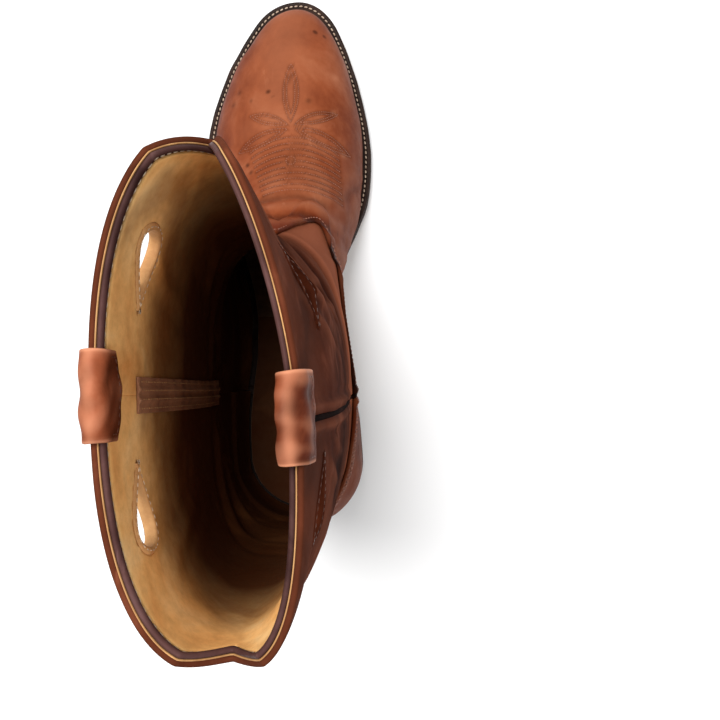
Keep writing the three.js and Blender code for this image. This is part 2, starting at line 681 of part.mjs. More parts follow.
const rimColumns = [0, ...frontColumns, 2, ...backColumns];
const BINDING_PROUD = 0.5;       // how far the binding stands in from the lining
const bindingOut = UNDER_LEATHER - 0.4;
const bindingIn = UNDER_LEATHER - LINING - GAP - BINDING_PROUD;
add('top_binding', loft(rimColumns.map(c => [
  offRim(c, BINDING_DROP, bindingIn), offRim(c, BINDING_DROP, bindingOut),
  offRim(c, -BINDING_RISE, bindingOut), offRim(c, -BINDING_RISE, bindingIn),
]), true), LEATHER_DARK);

// A pull strap folded over the rim: its section, as [s down from the rim, d out from the skin].
const STRAP_OUT = GAP + 0.2;
const STRAP_IN = bindingIn - 0.4 - STRAP_T;
const strapMiddle = (STRAP_OUT + STRAP_T + STRAP_IN) / 2;
const strapHalf = (STRAP_OUT + STRAP_T - STRAP_IN) / 2;
const ARCH_STEPS = 6;

function strapArch(half, top) {
  return range(0, ARCH_STEPS).map(i => {
    const angle = Math.PI * i / ARCH_STEPS;
    return [-top * Math.sin(angle), strapMiddle + half * Math.cos(angle)];
  });
}

function strapSection() {
  const outerArch = strapArch(strapHalf, STRAP_RISE);
  const innerArch = strapArch(strapHalf - STRAP_T, STRAP_RISE - STRAP_T).reverse();
  const leg = (length, d) => [length, length * 0.6, length * 0.25, 0].map(s => [s, d]);
  return [
    ...leg(STRAP_OUTER_LEG, STRAP_OUT + STRAP_T), ...outerArch,
    ...leg(STRAP_INNER_LEG, STRAP_IN).reverse(),
    ...leg(STRAP_INNER_LEG, STRAP_IN + STRAP_T), ...innerArch,
    ...leg(STRAP_OUTER_LEG, STRAP_OUT).reverse(),
  ];
}

function pullStrap(seam) {
  const steps = range(-3, 3).map(k => k / 3 * STRAP_WIDTH / 2);
  return loft(steps.map(distance => {
    const c = seam + 4 + seamStep(seam, 1, distance);
    return strapSection().map(([s, d]) => offRim(c, s, d));
  }));
}
add('pull_strap_inner', pullStrap(0), LEATHER_BROWN);
add('pull_strap_outer', pullStrap(2), LEATHER_BROWN);

// The ridged tape over a side seam inside the shaft, below the strap's inner leg.
function seamTape(seam) {
  const rows = [RIM_ROW - TAPE_END, ...range(RIM_ROW - TAPE_END + 1, RIM_ROW - 2), RIM_ROW - TAPE_START];
  const under = UNDER_LEATHER - LINING - GAP - 0.1;
  return loft(rows.map(row => {
    const at = (distance, d) => onGrid(v => seam + 4 + seamStep(seam, v, distance), seam, row, d);
    return [
      at(-TAPE_HALF, under), at(0, under), at(TAPE_HALF, under),
      at(TAPE_HALF, under - TAPE_T), at(0, under - TAPE_T - 0.4), at(-TAPE_HALF, under - TAPE_T),
    ];
  }));
}
add('seam_tape_inner', seamTape(0), LINING_TAN);
add('seam_tape_outer', seamTape(2), LINING_TAN);

for (const spec of PULL_HOLES) add(`hole_binding_${spec.name}`, holeBinding(spec), LINING_TAN);

// ---------------------------------------------------------------- the bottom

const OUTLINE_STEPS = 36;
const outlineT = i => (1 - Math.cos(Math.PI * (0.02 + 0.96 * i / OUTLINE_STEPS))) / 2;
const outlineY = Array.from({ length: OUTLINE_STEPS + 1 }, (_, i) => lerp(SOLE_BACK, SOLE_TOE, outlineT(i)));

// A height along the sole, straight between the outsole's rungs as its facets are.
function faceted(height) {
  return y => {
    const above = outlineY.findIndex(edge => edge > y);
    const i = above < 0 ? OUTLINE_STEPS - 1 : Math.max(0, above - 1);
    const t = (y - outlineY[i]) / (outlineY[i + 1] - outlineY[i]);
    return lerp(height(outlineY[i]), height(outlineY[i + 1]), t);
  };
}

// Rungs across an outline from heel to toe, moved in by `inset`, with z given by the height function.
function rungs(plan, inset, height, fromY = -Infinity, toY = Infinity) {
  const sides = [1, -1].map(side => {
    const points = range(0, OUTLINE_STEPS).map(i => {
      const y = lerp(plan.back, plan.toe, outlineT(i));
      const ends = roundEnd(y - plan.back, plan.heelRound) * roundEnd(plan.toe - y, plan.toeRound);
      const half = (side > 0 ? plan.inner : plan.outer)(y) * ends;
      return new THREE.Vector2(middle(y) + side * half, y);
    });
    return points.map((p, i) => {
      const before = points[Math.max(0, i - 1)];
      const after = points[Math.min(OUTLINE_STEPS, i + 1)];
      const tangent = after.clone().sub(before).normalize();
      return p.clone().add(new THREE.Vector2(-tangent.y, tangent.x).multiplyScalar(inset * side));
    });
  });
  const ladder = range(0, OUTLINE_STEPS).map(i => sides.map(points => points[i]));
  const kept = ladder.filter(([p, q]) => p.x - q.x > 1 && p.y >= fromY && p.y <= toY);
  return kept.map(rung => rung.map(p => new THREE.Vector3(p.x, p.y, height(p.y))));
}

const SOLE_PLAN = {
  inner: soleInner, outer: soleOuter, back: SOLE_BACK, toe: SOLE_TOE,
  heelRound: SOLE_HEEL_ROUND, toeRound: SOLE_TOE_ROUND,
};
const UPPER_PLAN = {
  inner: y => upperInner(y) - tuckAt(true, y), outer: y => upperOuter(y) - tuckAt(false, y),
  back: backY(0), toe: frontY(0), heelRound: UPPER_HEEL_ROUND, toeRound: UPPER_TOE_ROUND,
};

const facetedBottom = faceted(soleBottom);
const outsoleTop = y => facetedBottom(y) + OUTSOLE_T;
const weltBottom = y => outsoleTop(y) + WELT_CLEAR;
const weltTop = y => weltBottom(y) + WELT_T;
add('outsole', slab(rungs(SOLE_PLAN, 0, facetedBottom), rungs(SOLE_PLAN, 0, outsoleTop)), SOLE_EDGE);

// A strip of the sole's edge from one side round the toe, or round the heel, to the other side.
function edgeStrip(roundToe, width) {
  const limits = roundToe ? [WELT_END_Y, Infinity] : [-Infinity, WELT_END_Y - 2];
  const ladder = (inset, height) => {
    const kept = rungs(SOLE_PLAN, inset, height).filter((_, i) => {
      const y = rungs(SOLE_PLAN, 0, height)[i][0].y;
      return y >= limits[0] && y <= limits[1];
    });
    const ordered = roundToe ? kept : kept.slice().reverse();
    return [...ordered.map(r => r[0]), ...ordered.map(r => r[1]).reverse()];
  };
  const corners = [
    ladder(0, weltBottom), ladder(0, weltTop), ladder(width, weltTop), ladder(width, weltBottom),
  ];
  return loft(corners[0].map((_, i) => corners.map(line => line[i])));
}
add('welt', edgeStrip(true, WELT_WIDTH), SOLE_EDGE);
add('heel_rand', edgeStrip(false, WELT_WIDTH), SOLE_EDGE);

const INSOLE_INSET = STIFFENER + LINING + SHAFT_LEATHER + 4 * GAP;
const insoleBottom = y => facetedBottom(y) + FEATHER_RISE;
const insoleTop = y => insoleBottom(y) + INSOLE_T;
add('insole', slab(
  rungs(UPPER_PLAN, INSOLE_INSET, insoleBottom),
  rungs(UPPER_PLAN, INSOLE_INSET, insoleTop)), INSOLE_TAN);

const SOCK_T = 2;
const SOCK_FRONT_Y = 78;
const sockBottom = y => insoleTop(y) + GAP;
const sockTop = y => sockBottom(y) + SOCK_T;
add('heel_sock', slab(
  rungs(UPPER_PLAN, INSOLE_INSET + 0.6, sockBottom, SOLE_BACK, SOCK_FRONT_Y),
  rungs(UPPER_PLAN, INSOLE_INSET + 0.6, sockTop, SOLE_BACK, SOCK_FRONT_Y)), LINING_TAN);

const CORK_FROM_Y = 150;
const CORK_TO_Y = 254;
const CORK_INSET = WELT_WIDTH + 0.6;
add('cork_filler', slab(
  rungs(SOLE_PLAN, CORK_INSET, weltBottom, CORK_FROM_Y, CORK_TO_Y),
  rungs(SOLE_PLAN, CORK_INSET, weltTop, CORK_FROM_Y, CORK_TO_Y)), CORK);

const SHANK_FROM_Y = -8;
const SHANK_TO_Y = 138;
const SHANK_STEPS = 10;
const SHANK_LIFT = 0.7;          // above the top of the outsole's clearance
const shankBottom = y => weltBottom(y) + SHANK_LIFT;
const shankRungs = height => range(0, SHANK_STEPS).map(i => {
  const y = lerp(SHANK_FROM_Y, SHANK_TO_Y, i / SHANK_STEPS);
  return [1, -1].map(side => new THREE.Vector3(side * SHANK_HALF_WIDTH - 1, y, height(y)));
});
add('steel_shank', slab(shankRungs(shankBottom), shankRungs(y => shankBottom(y) + SHANK_T)), STEEL);

// ---------------------------------------------------------------- the heel

// The heel's outline at a height: it tapers in to the floor and its front face is straight.
const HEEL_BACK_TOP = -49.6;
const HEEL_BACK_FLOOR = -46;
const HEEL_FRONT_TOP = 24;
const HEEL_FRONT_FLOOR = 18;
const HEEL_HALF_TOP = 34.6;
const HEEL_HALF_FLOOR = 31.5;
const HEEL_STEPS = 12;
const HEEL_CENTRE = (HEEL_BACK_FLOOR + HEEL_FRONT_FLOOR) / 2;
const NAIL_RING = 23;

function heelRungs(z) {
  const t = z / HEEL_TOP;
  const back = lerp(HEEL_BACK_FLOOR, HEEL_BACK_TOP, t);
  const front = lerp(HEEL_FRONT_FLOOR, HEEL_FRONT_TOP, t);
  const half = lerp(HEEL_HALF_FLOOR, HEEL_HALF_TOP, t);
  return range(0, HEEL_STEPS).map(i => {
    const f = 1 - Math.cos(Math.PI / 2 * (0.06 + 0.94 * i / HEEL_STEPS));
    const y = lerp(back, front, f);
    const width = half * roundEnd(y - back, half) * (1 - 0.06 * f * f);
    return [1, -1].map(side => new THREE.Vector3(side * width, y, z));
  });
}

const nailHeight = HEEL_CAP_T + GAP + (HEEL_TOP - HEEL_CAP_T) / HEEL_LIFTS - 1.5;

function nailAt(i) {
  const angle = Math.PI * (0.5 + 1.5 * (i / (HEEL_NAILS - 1) - 0.5));
  return [NAIL_RING * Math.cos(angle), HEEL_CENTRE - NAIL_RING * Math.sin(angle)];
}

function nail(i, r, bottom, top) {
  const [x, y] = nailAt(i);
  const rod = new THREE.CylinderGeometry(r, r, top - bottom, NAIL_SIDES);
  return rod.rotateX(Math.PI / 2).translate(x, y, (bottom + top) / 2);
}

const nailHoles = range(0, HEEL_NAILS - 1).map(i => nail(i, NAIL_R + GAP, -1, nailHeight + GAP));
add('heel_cap', cutAway(slab(heelRungs(0), heelRungs(HEEL_CAP_T)), nailHoles), RUBBER);
const liftPitch = (HEEL_TOP - HEEL_CAP_T) / HEEL_LIFTS;
for (let i = 0; i < HEEL_LIFTS; i++) {
  const bottom = HEEL_CAP_T + GAP + i * liftPitch;
  const lift = slab(heelRungs(bottom), heelRungs(bottom + liftPitch - GAP));
  add(`heel_lift_${i + 1}`, i === 0 ? cutAway(lift, nailHoles) : lift, SOLE_EDGE);
}
for (let i = 0; i < HEEL_NAILS; i++) {
  add(`heel_nail_${i + 1}`, mergeVertices(bare(nail(i, NAIL_R, NAIL_BOTTOM, nailHeight))), BRASS);
}

// The geometry with positions only, so that its shared corners can be merged.
function bare(geometry) {
  geometry.deleteAttribute('normal');
  geometry.deleteAttribute('uv');
  return geometry;
}

boot.position.y = -HEEL_CENTRE;

export default boot;
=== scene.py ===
"""A left cowboy boot in brown waxed leather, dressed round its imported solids.

Shapes are drawn in millimetres in the bootmaker's own frame: y is counted from under the ankle,
+Z is up, +Y points to the toe and +X to the inner side of the foot. The leather follows one outer
skin, given by a column c round the boot and a level v from the welt (0) to the rim (1).
"""

import math

import bpy
import numpy as np
from mathutils import Matrix, Vector
from mathutils.bvhtree import BVHTree


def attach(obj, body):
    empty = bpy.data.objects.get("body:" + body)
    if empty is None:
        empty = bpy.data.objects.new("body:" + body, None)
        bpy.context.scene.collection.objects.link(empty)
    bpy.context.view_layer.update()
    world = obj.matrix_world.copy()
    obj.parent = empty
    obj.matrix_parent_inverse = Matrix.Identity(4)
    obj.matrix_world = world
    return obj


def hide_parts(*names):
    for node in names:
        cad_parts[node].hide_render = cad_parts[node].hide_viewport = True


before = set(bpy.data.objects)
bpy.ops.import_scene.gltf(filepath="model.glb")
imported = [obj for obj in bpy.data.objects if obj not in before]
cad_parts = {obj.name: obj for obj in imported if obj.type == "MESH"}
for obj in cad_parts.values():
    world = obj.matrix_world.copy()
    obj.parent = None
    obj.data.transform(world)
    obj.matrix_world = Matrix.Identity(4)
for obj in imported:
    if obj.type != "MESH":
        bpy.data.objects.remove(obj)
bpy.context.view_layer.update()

MM = 0.001
FORWARD = 14.0             # from the drawing's y to the part's y

# ------------------------------------------------------------------ curves


def curve_through(points):
    """A smooth curve through (x, y) points that never overshoots them."""
    xs, ys = np.array(points, float).T
    slope = np.diff(ys) / np.diff(xs)
    tangent = np.empty(len(xs))
    tangent[0], tangent[-1] = slope[0], slope[-1]
    same = slope[:-1] * slope[1:] > 0
    total = np.where(same, slope[:-1] + slope[1:], 1)
    tangent[1:-1] = np.where(same, 2 * slope[:-1] * slope[1:] / total, 0)

    def at(x):
        x = np.asarray(x, float)
        i = np.clip(np.searchsorted(xs, x, side="right") - 1, 0, len(xs) - 2)
        width = xs[i + 1] - xs[i]
        t = np.clip((x - xs[i]) / width, 0, 1)
        inside = ((1 + 2 * t) * (1 - t) ** 2 * ys[i] + t * (1 - t) ** 2 * width * tangent[i]
                  + t * t * (3 - 2 * t) * ys[i + 1] + t * t * (t - 1) * width * tangent[i + 1])
        before = np.minimum(x - xs[0], 0) * tangent[0]
        after = np.maximum(x - xs[-1], 0) * tangent[-1]
        return inside + before + after

    return at


def lerp(a, b, t):
    return a + (b - a) * t


def smooth(x, low, high):
    t = np.clip((np.asarray(x, float) - low) / (high - low), 0, 1)
    return t * t * (3 - 2 * t)


def round_end(distance, r):
    """0 at the end of an outline, rising as a circle does to 1 at a distance r from it."""
    return np.sqrt(np.clip(1 - (1 - np.clip(distance / r, 0, 1)) ** 2, 0, 1))


# ------------------------------------------------------------------ the last and the sole

SOLE_BACK, SOLE_TOE = -50.0, 269.6
SOLE_TOE_ROUND, SOLE_HEEL_ROUND = 40, 34
UPPER_TOE_ROUND, UPPER_HEEL_ROUND = 36, 34
FEATHER_TUCK, FEATHER_TUCK_FADE = 2.2, 5
FEATHER_INSET = 1.5        # from the sole's edge to the upper's, at the narrow waist
OUTSOLE_T = 5.0
WELT_GAP = 0.6
WELT_WIDTH = 11.5
WELT_END_Y = 27
FEATHER_RISE = 9.4         # from the sole's underside up to the edge of the upper

sole_bottom = curve_through([
    (-50, 36.4), (26, 36.4), (46, 33), (70, 26), (95, 16.8), (118, 8.4), (140, 2.8), (158, 0.6),
    (172, 0), (198, 0), (215, 0.6), (235, 2.6), (255, 6.2), (270, 9.6)])
middle = curve_through([(-60, 3.3), (0, 1.2), (100, -0.3), (180, 2.1), (270, 3.1)])
sole_inner = curve_through([
    (-50, 34), (-14, 35.2), (6, 34.6), (28, 31), (46, 26.5), (64, 24), (82, 23.5), (105, 28.5),
    (125, 36.5), (144, 42.6), (160, 44.1), (172, 44.3), (188, 43), (205, 40), (220, 36.5),
    (236, 31.8), (250, 29.8), (270, 30)])
sole_outer = curve_through([
    (-50, 34), (-12, 36), (8, 35.4), (28, 33), (48, 30.4), (66, 30.4), (84, 33), (104, 38.8),
    (125, 47), (150, 55.6), (170, 58.8), (185, 58.8), (200, 56.2), (214, 51.6), (228, 45.8),
    (242, 39.4), (256, 36.4), (270, 37.4)])
upper_inner = curve_through([
    (-50, 35), (-12, 36), (18, 35.5), (42, 32), (54, 30.2), (67, 29), (80, 29.2), (92, 30.6),
    (104, 33), (118, 35.8), (131, 38.2), (145, 39.8), (158, 40.4), (172, 40.3), (188, 39.2),
    (205, 36), (220, 32.5), (236, 27.8), (250, 26), (266, 26)])
upper_outer = curve_through([
    (-50, 35), (-12, 36.5), (40, 36), (60, 35.5), (80, 36.5), (100, 39.5), (125, 46.5),
    (150, 53), (170, 53.8), (185, 52.6), (200, 49.2), (214, 44.2), (228, 38.2), (242, 32),
    (256, 30), (266, 30)])


def feather(y):
    return sole_bottom(y) + FEATHER_RISE


front_y = curve_through([
    (0, 261.6), (0.06, 260.2), (0.12, 254.2), (0.2, 238.4), (0.3, 208), (0.4, 169), (0.48, 138),
    (0.55, 114), (0.62, 99), (0.7, 93), (0.8, 95), (0.9, 98.5), (1, 101.5)])
front_z = curve_through([
    (0, feather(261.6)), (0.06, 27), (0.12, 34.5), (0.2, 43.5), (0.3, 55.5), (0.4, 69),
    (0.48, 84), (0.55, 104), (0.62, 130), (0.7, 162), (0.8, 205), (0.9, 250), (1, 294)])
back_y = curve_through([
    (0, -47.5), (0.06, -49.2), (0.12, -50), (0.2, -49.6), (0.3, -48), (0.4, -46.6), (0.48, -47),
    (0.55, -49), (0.62, -51.6), (0.7, -54), (0.8, -57), (0.9, -59), (1, -60)])
back_z = curve_through([
    (0, feather(-47.5)), (0.06, 52.5), (0.12, 60), (0.2, 70), (0.3, 84), (0.4, 101),
    (0.48, 117), (0.55, 135), (0.62, 156), (0.7, 183), (0.8, 221), (0.9, 257), (1, 293)])
seam_inner = curve_through([(0, 24), (0.45, 20), (1, 12)])
seam_outer = curve_through([(0, 26), (0.45, 24), (1, 21)])
shaft_inner = curve_through([
    (75, 33.5), (110, 33), (150, 34), (215, 34.6), (250, 33.6), (278, 30), (300, 26.6)])
shaft_outer = curve_through([
    (75, 36), (110, 35), (150, 34), (215, 33.2), (262, 33.2), (300, 34.4)])
folded_front = curve_through([
    (0.5, 1), (0.68, 0.98), (0.72, 0.89), (0.75, 0.79), (0.78, 0.67), (0.81, 0.54),
    (0.86, 0.42), (0.92, 0.29), (1, 0.12)])
foot_dome = curve_through([(80, 1.4), (130, 1.6), (180, 2.0), (230, 2.6), (266, 3.2)])
lap_line = curve_through([
    (-1, 0.455), (-0.5, 0.43), (0, 0.41), (0.45, 0.44), (0.8, 0.52), (1, 0.58)])
LAP = 0.035

RIDGE_LEVELS = np.linspace(0.7, 0, 241)
RIDGE_Y, RIDGE_Z = front_y(RIDGE_LEVELS), front_z(RIDGE_LEVELS)


def ridge(y):
    """Height of the front profile over the foot."""
    height = np.interp(y, RIDGE_Y, RIDGE_Z)
    return height + 12 * np.maximum(RIDGE_Y[0] - y, 0)


def side_of(c):
    """Which side a column is on, and its place from back middle (-1) to front middle (1)."""
    turn = np.mod(c, 4)
    inner = (turn <= 1) | (turn > 3)
    a = np.where(turn <= 1, turn, np.where(turn <= 3, 2 - turn, turn - 4))
    return inner, a


def tuck_at(inner, y):
    """How far the upper draws in at the welt: more at the waist, to tuck under the foot."""
    overhang = np.where(inner, upper_inner(y) - sole_inner(y), upper_outer(y) - sole_outer(y))
    return np.maximum(FEATHER_TUCK, overhang + FEATHER_INSET)


def foot_half_width(inner, y, z, v):
    plan = np.where(inner, upper_inner(y), upper_outer(y))
    tuck = tuck_at(inner, y)
    ends = round_end(y - back_y(v), UPPER_HEEL_ROUND) * round_end(front_y(0) - y, UPPER_TOE_ROUND)
    base = feather(y)
    rise = np.maximum(0, z - base)
    height = np.minimum(1, rise / np.maximum(1, ridge(y) - base))
    dome = np.sqrt(np.maximum(0, 1 - height ** foot_dome(y)))
    fade = FEATHER_TUCK_FADE + tuck - FEATHER_TUCK
    return ends * dome * (plan - tuck * np.exp(-rise / fade))


def oval(t, power):
    """An oval end to the shaft: 1 at its middle, 0 at its ends, squarer as the power rises."""
    return np.maximum(0, 1 - np.abs(2 * t - 1) ** power) ** (1 / power)


# Heights between which the shaft's section changes.
TO_HOLES, TO_RIM = (205, 262), (262, 298)
TO_CREST = (205, 235)
INTO_FOLD, OUT_OF_FOLD = (140, 190), (255, 292)


def shaft_half_width(inner, z, t):
    """Half the shaft's width: an oval, with the front of its inner side folded flat."""
    at_holes = smooth(z, *TO_HOLES)
    outer_power = np.where(t < 0.5, lerp(3.1, 2.6, at_holes), lerp(2.6, 2.2, at_holes))
    folded = np.minimum(folded_front(t), oval(t, 2))
    fold = smooth(z, *INTO_FOLD) * (1 - smooth(z, *OUT_OF_FOLD))
    inner_front = lerp(oval(t, lerp(2.0, 1.5, smooth(z, *TO_CREST))), folded, fold)
    inner_back = oval(t, lerp(1.9, 2.8, smooth(z, *TO_RIM)))
    inner_half = shaft_inner(z) * np.where(t < 0.5, inner_back, inner_front)
    return np.where(inner, inner_half, shaft_outer(z) * oval(t, outer_power))


RIM_CROWN = 5              # the rim stands higher at the sides than on its ends
RIM_SHAPED_FROM = 0.7      # level from which the wall follows the rim's shape
FRONT_NOTCH, BACK_NOTCH = (19, 0.68), (13, 0.8)     # depth, and where it starts along a
FOOT_TO_SHAFT = (72, 135)  # heights between which the foot turns into the shaft
WELT_FELT_TO = 0.5         # level up to which the skin follows the line of the welt
STEP_ROUND, STEP_UP = 0.01, 0.002       # for slopes round the skin and up it


def notch(a, depth, start):
    return depth * np.maximum(0, (a - start) / (1 - start))


def rim_shape(a):
    """How the rim rises at the sides and dips at its front and back."""
    return RIM_CROWN * (1 - a * a) - notch(a, *FRONT_NOTCH) - notch(-a, *BACK_NOTCH)


def skin(c, v):
    """A point of the outer skin."""
    c, v = np.broadcast_arrays(np.asarray(c, float), np.asarray(v, float))
    inner, a = side_of(c)
    yb, yf, zb, zf = back_y(v), front_y(v), back_z(v), front_z(v)
    seam = (np.where(inner, seam_inner(v), seam_outer(v)) - yb) / (yf - yb)
    t = np.where(a >= 0, 1 - (1 - seam) * (1 - a) ** 2, seam * (1 + a) ** 2)
    y = lerp(yb, yf, t)
    sole0 = feather(lerp(back_y(0), front_y(0), t)) - lerp(back_z(0), front_z(0), t)
    z = lerp(zb, zf, t) + sole0 * np.maximum(0, 1 - v / WELT_FELT_TO) ** 2
    z = z + rim_shape(a) * smooth(v, RIM_SHAPED_FROM, 1)
    on_shaft = smooth(z, *FOOT_TO_SHAFT)
    half = lerp(foot_half_width(inner, y, z, v), shaft_half_width(inner, z, t), on_shaft)
    x = middle(y) + np.where(inner, half, -half)
    return np.stack([x, y, z], axis=-1)


def unit(vectors):
    length = np.linalg.norm(vectors, axis=-1, keepdims=True)
    return vectors / np.maximum(length, 1e-9)


def skin_frame(c, v):
    """The skin's point, its direction round the boot, its direction up, and its normal."""
    c, v = np.broadcast_arrays(np.asarray(c, float), np.asarray(v, float))
    along = (skin(c + STEP_ROUND, v) - skin(c - STEP_ROUND, v)) / (2 * STEP_ROUND)
    low, high = np.maximum(v - STEP_UP, 0), np.minimum(v + STEP_UP, 1)
    up = (skin(c, high) - skin(c, low)) / (high - low)[..., None]
    return skin(c, v), along, up, unit(np.cross(along, up))


def off_skin(c, v, d):
    """A point off the skin, d out along its normal."""
    point, _, _, normal = skin_frame(c, v)
    return point + normal * np.asarray(d)[..., None]


def off_rim(c, s, d):
    """A point s below the rim, or above it when negative, and d out from the skin."""
    c, s, d = np.broadcast_arrays(np.asarray(c, float), np.asarray(s, float), np.asarray(d, float))
    point, _, up, normal = skin_frame(c, np.ones_like(c))
    reach = np.linalg.norm(up, axis=-1)
    below = off_skin(c, 1 - np.maximum(s, 0) / reach, d)
    level = unit(normal * np.array([1, 1, 0]))
    above = point + level * d[..., None] + np.stack([0 * s, 0 * s, -s], axis=-1)
    return np.where((s > 0)[..., None], below, above)


def column_step(c, v, distance):
    """How far c moves over a distance in millimetres round the wall."""
    _, along, _, _ = skin_frame(c, v)
    return distance / np.linalg.norm(along, axis=-1)


# ------------------------------------------------------------------ objects

scene_collection = bpy.context.scene.collection


def to_part(points):
    """From the drawing's millimetres to the part's metres."""
    return (np.asarray(points, float).reshape(-1, 3) + [0, FORWARD, 0]) * MM


def new_piece(name, vertices, faces, material, replaces=()):
    mesh = bpy.data.meshes.new(name)
    mesh.from_pydata(to_part(vertices).tolist(), [], faces)
    mesh.validate()
    piece = bpy.data.objects.new(name, mesh)
    scene_collection.objects.link(piece)
    dress(piece, material, replaces)
    return piece


def dress(piece, material, replaces=()):
    piece.data.materials.clear()
    piece.data.materials.append(material)
    piece.data.polygons.foreach_set("use_smooth", [True] * len(piece.data.polygons))
    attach(piece, "root")
    if replaces:
        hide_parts(*replaces)


def pick(piece):
    bpy.ops.object.select_all(action="DESELECT")
    piece.select_set(True)
    bpy.context.view_layer.objects.active = piece


def apply_modifier(piece, kind, **settings):
    pick(piece)
    modifier = piece.modifiers.new(kind.title(), kind)
    for key, value in settings.items():
        setattr(modifier, key, value)
    bpy.ops.object.modifier_apply(modifier=modifier.name)


def set_values(piece, name, values):
    """A number for each vertex, which the leather's material reads."""
    attribute = piece.data.attributes.new(name, "FLOAT", "POINT")
    attribute.data.foreach_set("value", np.asarray(values, np.float32).ravel())


# ------------------------------------------------------------------ shells

EDGE_RINGS = 4             # rings of vertices round a shell's edge


def border(rows, columns):
    """The grid's border, running the way its outer face turns."""
    bottom = [(0, j) for j in range(columns - 1)]
    right = [(i, columns - 1) for i in range(rows - 1)]
    top = [(rows - 1, j) for j in range(columns - 1, 0, -1)]
    left = [(i, 0) for i in range(rows - 1, 0, -1)]
    return np.array(bottom + right + top + left)


def grid_faces(rows, columns, start, flip):
    i, j = np.meshgrid(np.arange(rows - 1), np.arange(columns - 1), indexing="ij")
    a = start + i * columns + j
    quads = np.stack([a, a + 1, a + columns + 1, a + columns], axis=-1).reshape(-1, 4)
    return quads[:, ::-1] if flip else quads


def edge_rings(over, under, loop, bulge, boxy):
    """Rings of points that round off a sheet's edge, from its outer face to its inner one."""
    rows, columns, _ = over.shape
    li, lj = loop.T
    inward_i, inward_j = np.clip(li, 1, rows - 2), np.clip(lj, 1, columns - 2)
    centre = (over[li, lj] + under[li, lj]) / 2
    half = (over[li, lj] - under[li, lj]) / 2
    out = centre - (over[inward_i, inward_j] + under[inward_i, inward_j]) / 2
    out = unit(out - half * (np.sum(out * half, 1) / np.sum(half * half, 1))[:, None])
    thick = np.linalg.norm(half, axis=1, keepdims=True)
    rings = []
    for k in range(1, EDGE_RINGS + 1):
        angle = math.pi * k / (EDGE_RINGS + 1)
        rise = math.copysign(abs(math.cos(angle)) ** boxy, math.cos(angle))
        rings.append(centre + half * rise + out * thick * bulge * math.sin(angle) ** boxy)
    return rings


def shell_mesh(over, under, bulge, boxy):
    """A closed sheet between two grids: its points, its faces, and where a grid's border lies."""
    rows, columns, _ = over.shape
    loop = border(rows, columns)
    rings = edge_rings(over, under, loop, bulge, boxy)
    vertices = np.concatenate([over.reshape(-1, 3), under.reshape(-1, 3), *rings])
    count = rows * columns
    around = loop @ [columns, 1]
    rim = np.arange(len(loop))
    levels = [around, *[2 * count + k * len(loop) + rim for k in range(EDGE_RINGS)], around + count]
    faces = [grid_faces(rows, columns, 0, False), grid_faces(rows, columns, count, True)]
    for upper, lower in zip(levels[:-1], levels[1:]):
        faces.append(np.stack([np.roll(upper, -1), upper, lower, np.roll(lower, -1)], axis=-1))
    return vertices, np.concatenate(faces).tolist(), around


def spread(values, around):
    """Values on a grid, carried to the shell's underside and its edge rings."""
    flat = np.asarray(values, float).ravel()
    return np.concatenate([flat, flat, *[flat[around]] * EDGE_RINGS])


def shell(name, over, under, material, slot, replaces=(), values=None, bulge=0.5, boxy=1.0):
    vertices, faces, around = shell_mesh(over, under, bulge, boxy)
    piece = new_piece(name, vertices, faces, material, replaces)
    for key, grid in (values or {}).items():
        set_values(piece, key, spread(grid, around))
    return piece


def grid_normals(points):
    along = np.gradient(points, axis=1)
    up = np.gradient(points, axis=0)
    return unit(np.cross(along, up))


def tube(name, points, across, up, profile, material, replaces=(), closed=False):
    """A section carried along a line; profile is a loop of (sideways, upwards) offsets."""
    profile = np.asarray(profile, float)
    loops = (points[:, None] + across[:, None] * profile[None, :, :1]
             + up[:, None] * profile[None, :, 1:])
    count, size = loops.shape[:2]
    faces = []
    for i in range(count if closed else count - 1):
        for j in range(size):
            p, q = i * size, (i + 1) % count * size
            faces.append((p + j, p + (j + 1) % size, q + (j + 1) % size, q + j))
    if not closed:
        faces.append(tuple(range(size))[::-1])
        faces.append(tuple((count - 1) * size + j for j in range(size)))
    piece = new_piece(name, loops.reshape(-1, 3), faces, material, replaces)
    outward(piece)
    return piece


def edit_whole(piece, operator, **settings):
    """Runs an operator of edit mode on the whole of a piece."""
    pick(piece)
    bpy.ops.object.mode_set(mode="EDIT")
    bpy.ops.mesh.select_all(action="SELECT")
    operator(**settings)
    bpy.ops.object.mode_set(mode="OBJECT")


def outward(piece):
    edit_whole(piece, bpy.ops.mesh.normals_make_consistent, inside=False)


def ring_profile(half_width, half_height, sides=12):
    angles = np.arange(sides) * 2 * math.pi / sides
    return np.stack([half_width * np.cos(angles), half_height * np.sin(angles)], axis=-1)


def form_of(piece):
    """A piece's points and faces."""
    points = np.array([v.co[:] for v in piece.data.vertices])
    return points, [tuple(p.vertices) for p in piece.data.polygons]


def copies(name, faces, placed, material):
    """One piece of many copies of a form, from the form's faces and each copy's points."""
    size = len(placed[0])
    all_faces = [tuple(k * size + i for i in face) for k in range(len(placed)) for face in faces]
    new_piece(name, np.concatenate(placed), all_faces, material)


# ------------------------------------------------------------------ stitches

def stitch_form():
    """One stitch of thread, 1 long, 1 wide and 1 high, lying along x."""
    bpy.ops.object.select_all(action="DESELECT")
    bpy.ops.mesh.primitive_uv_sphere_add(segments=6, ring_count=4, radius=0.5,
                                         rotation=(0, math.pi / 2, 0))
    ball = bpy.context.object
    bpy.ops.object.transform_apply(location=True, rotation=True, scale=True)
    form = form_of(ball)
    bpy.data.objects.remove(ball)
    return form


STITCH_POINTS, STITCH_FACES = stitch_form()


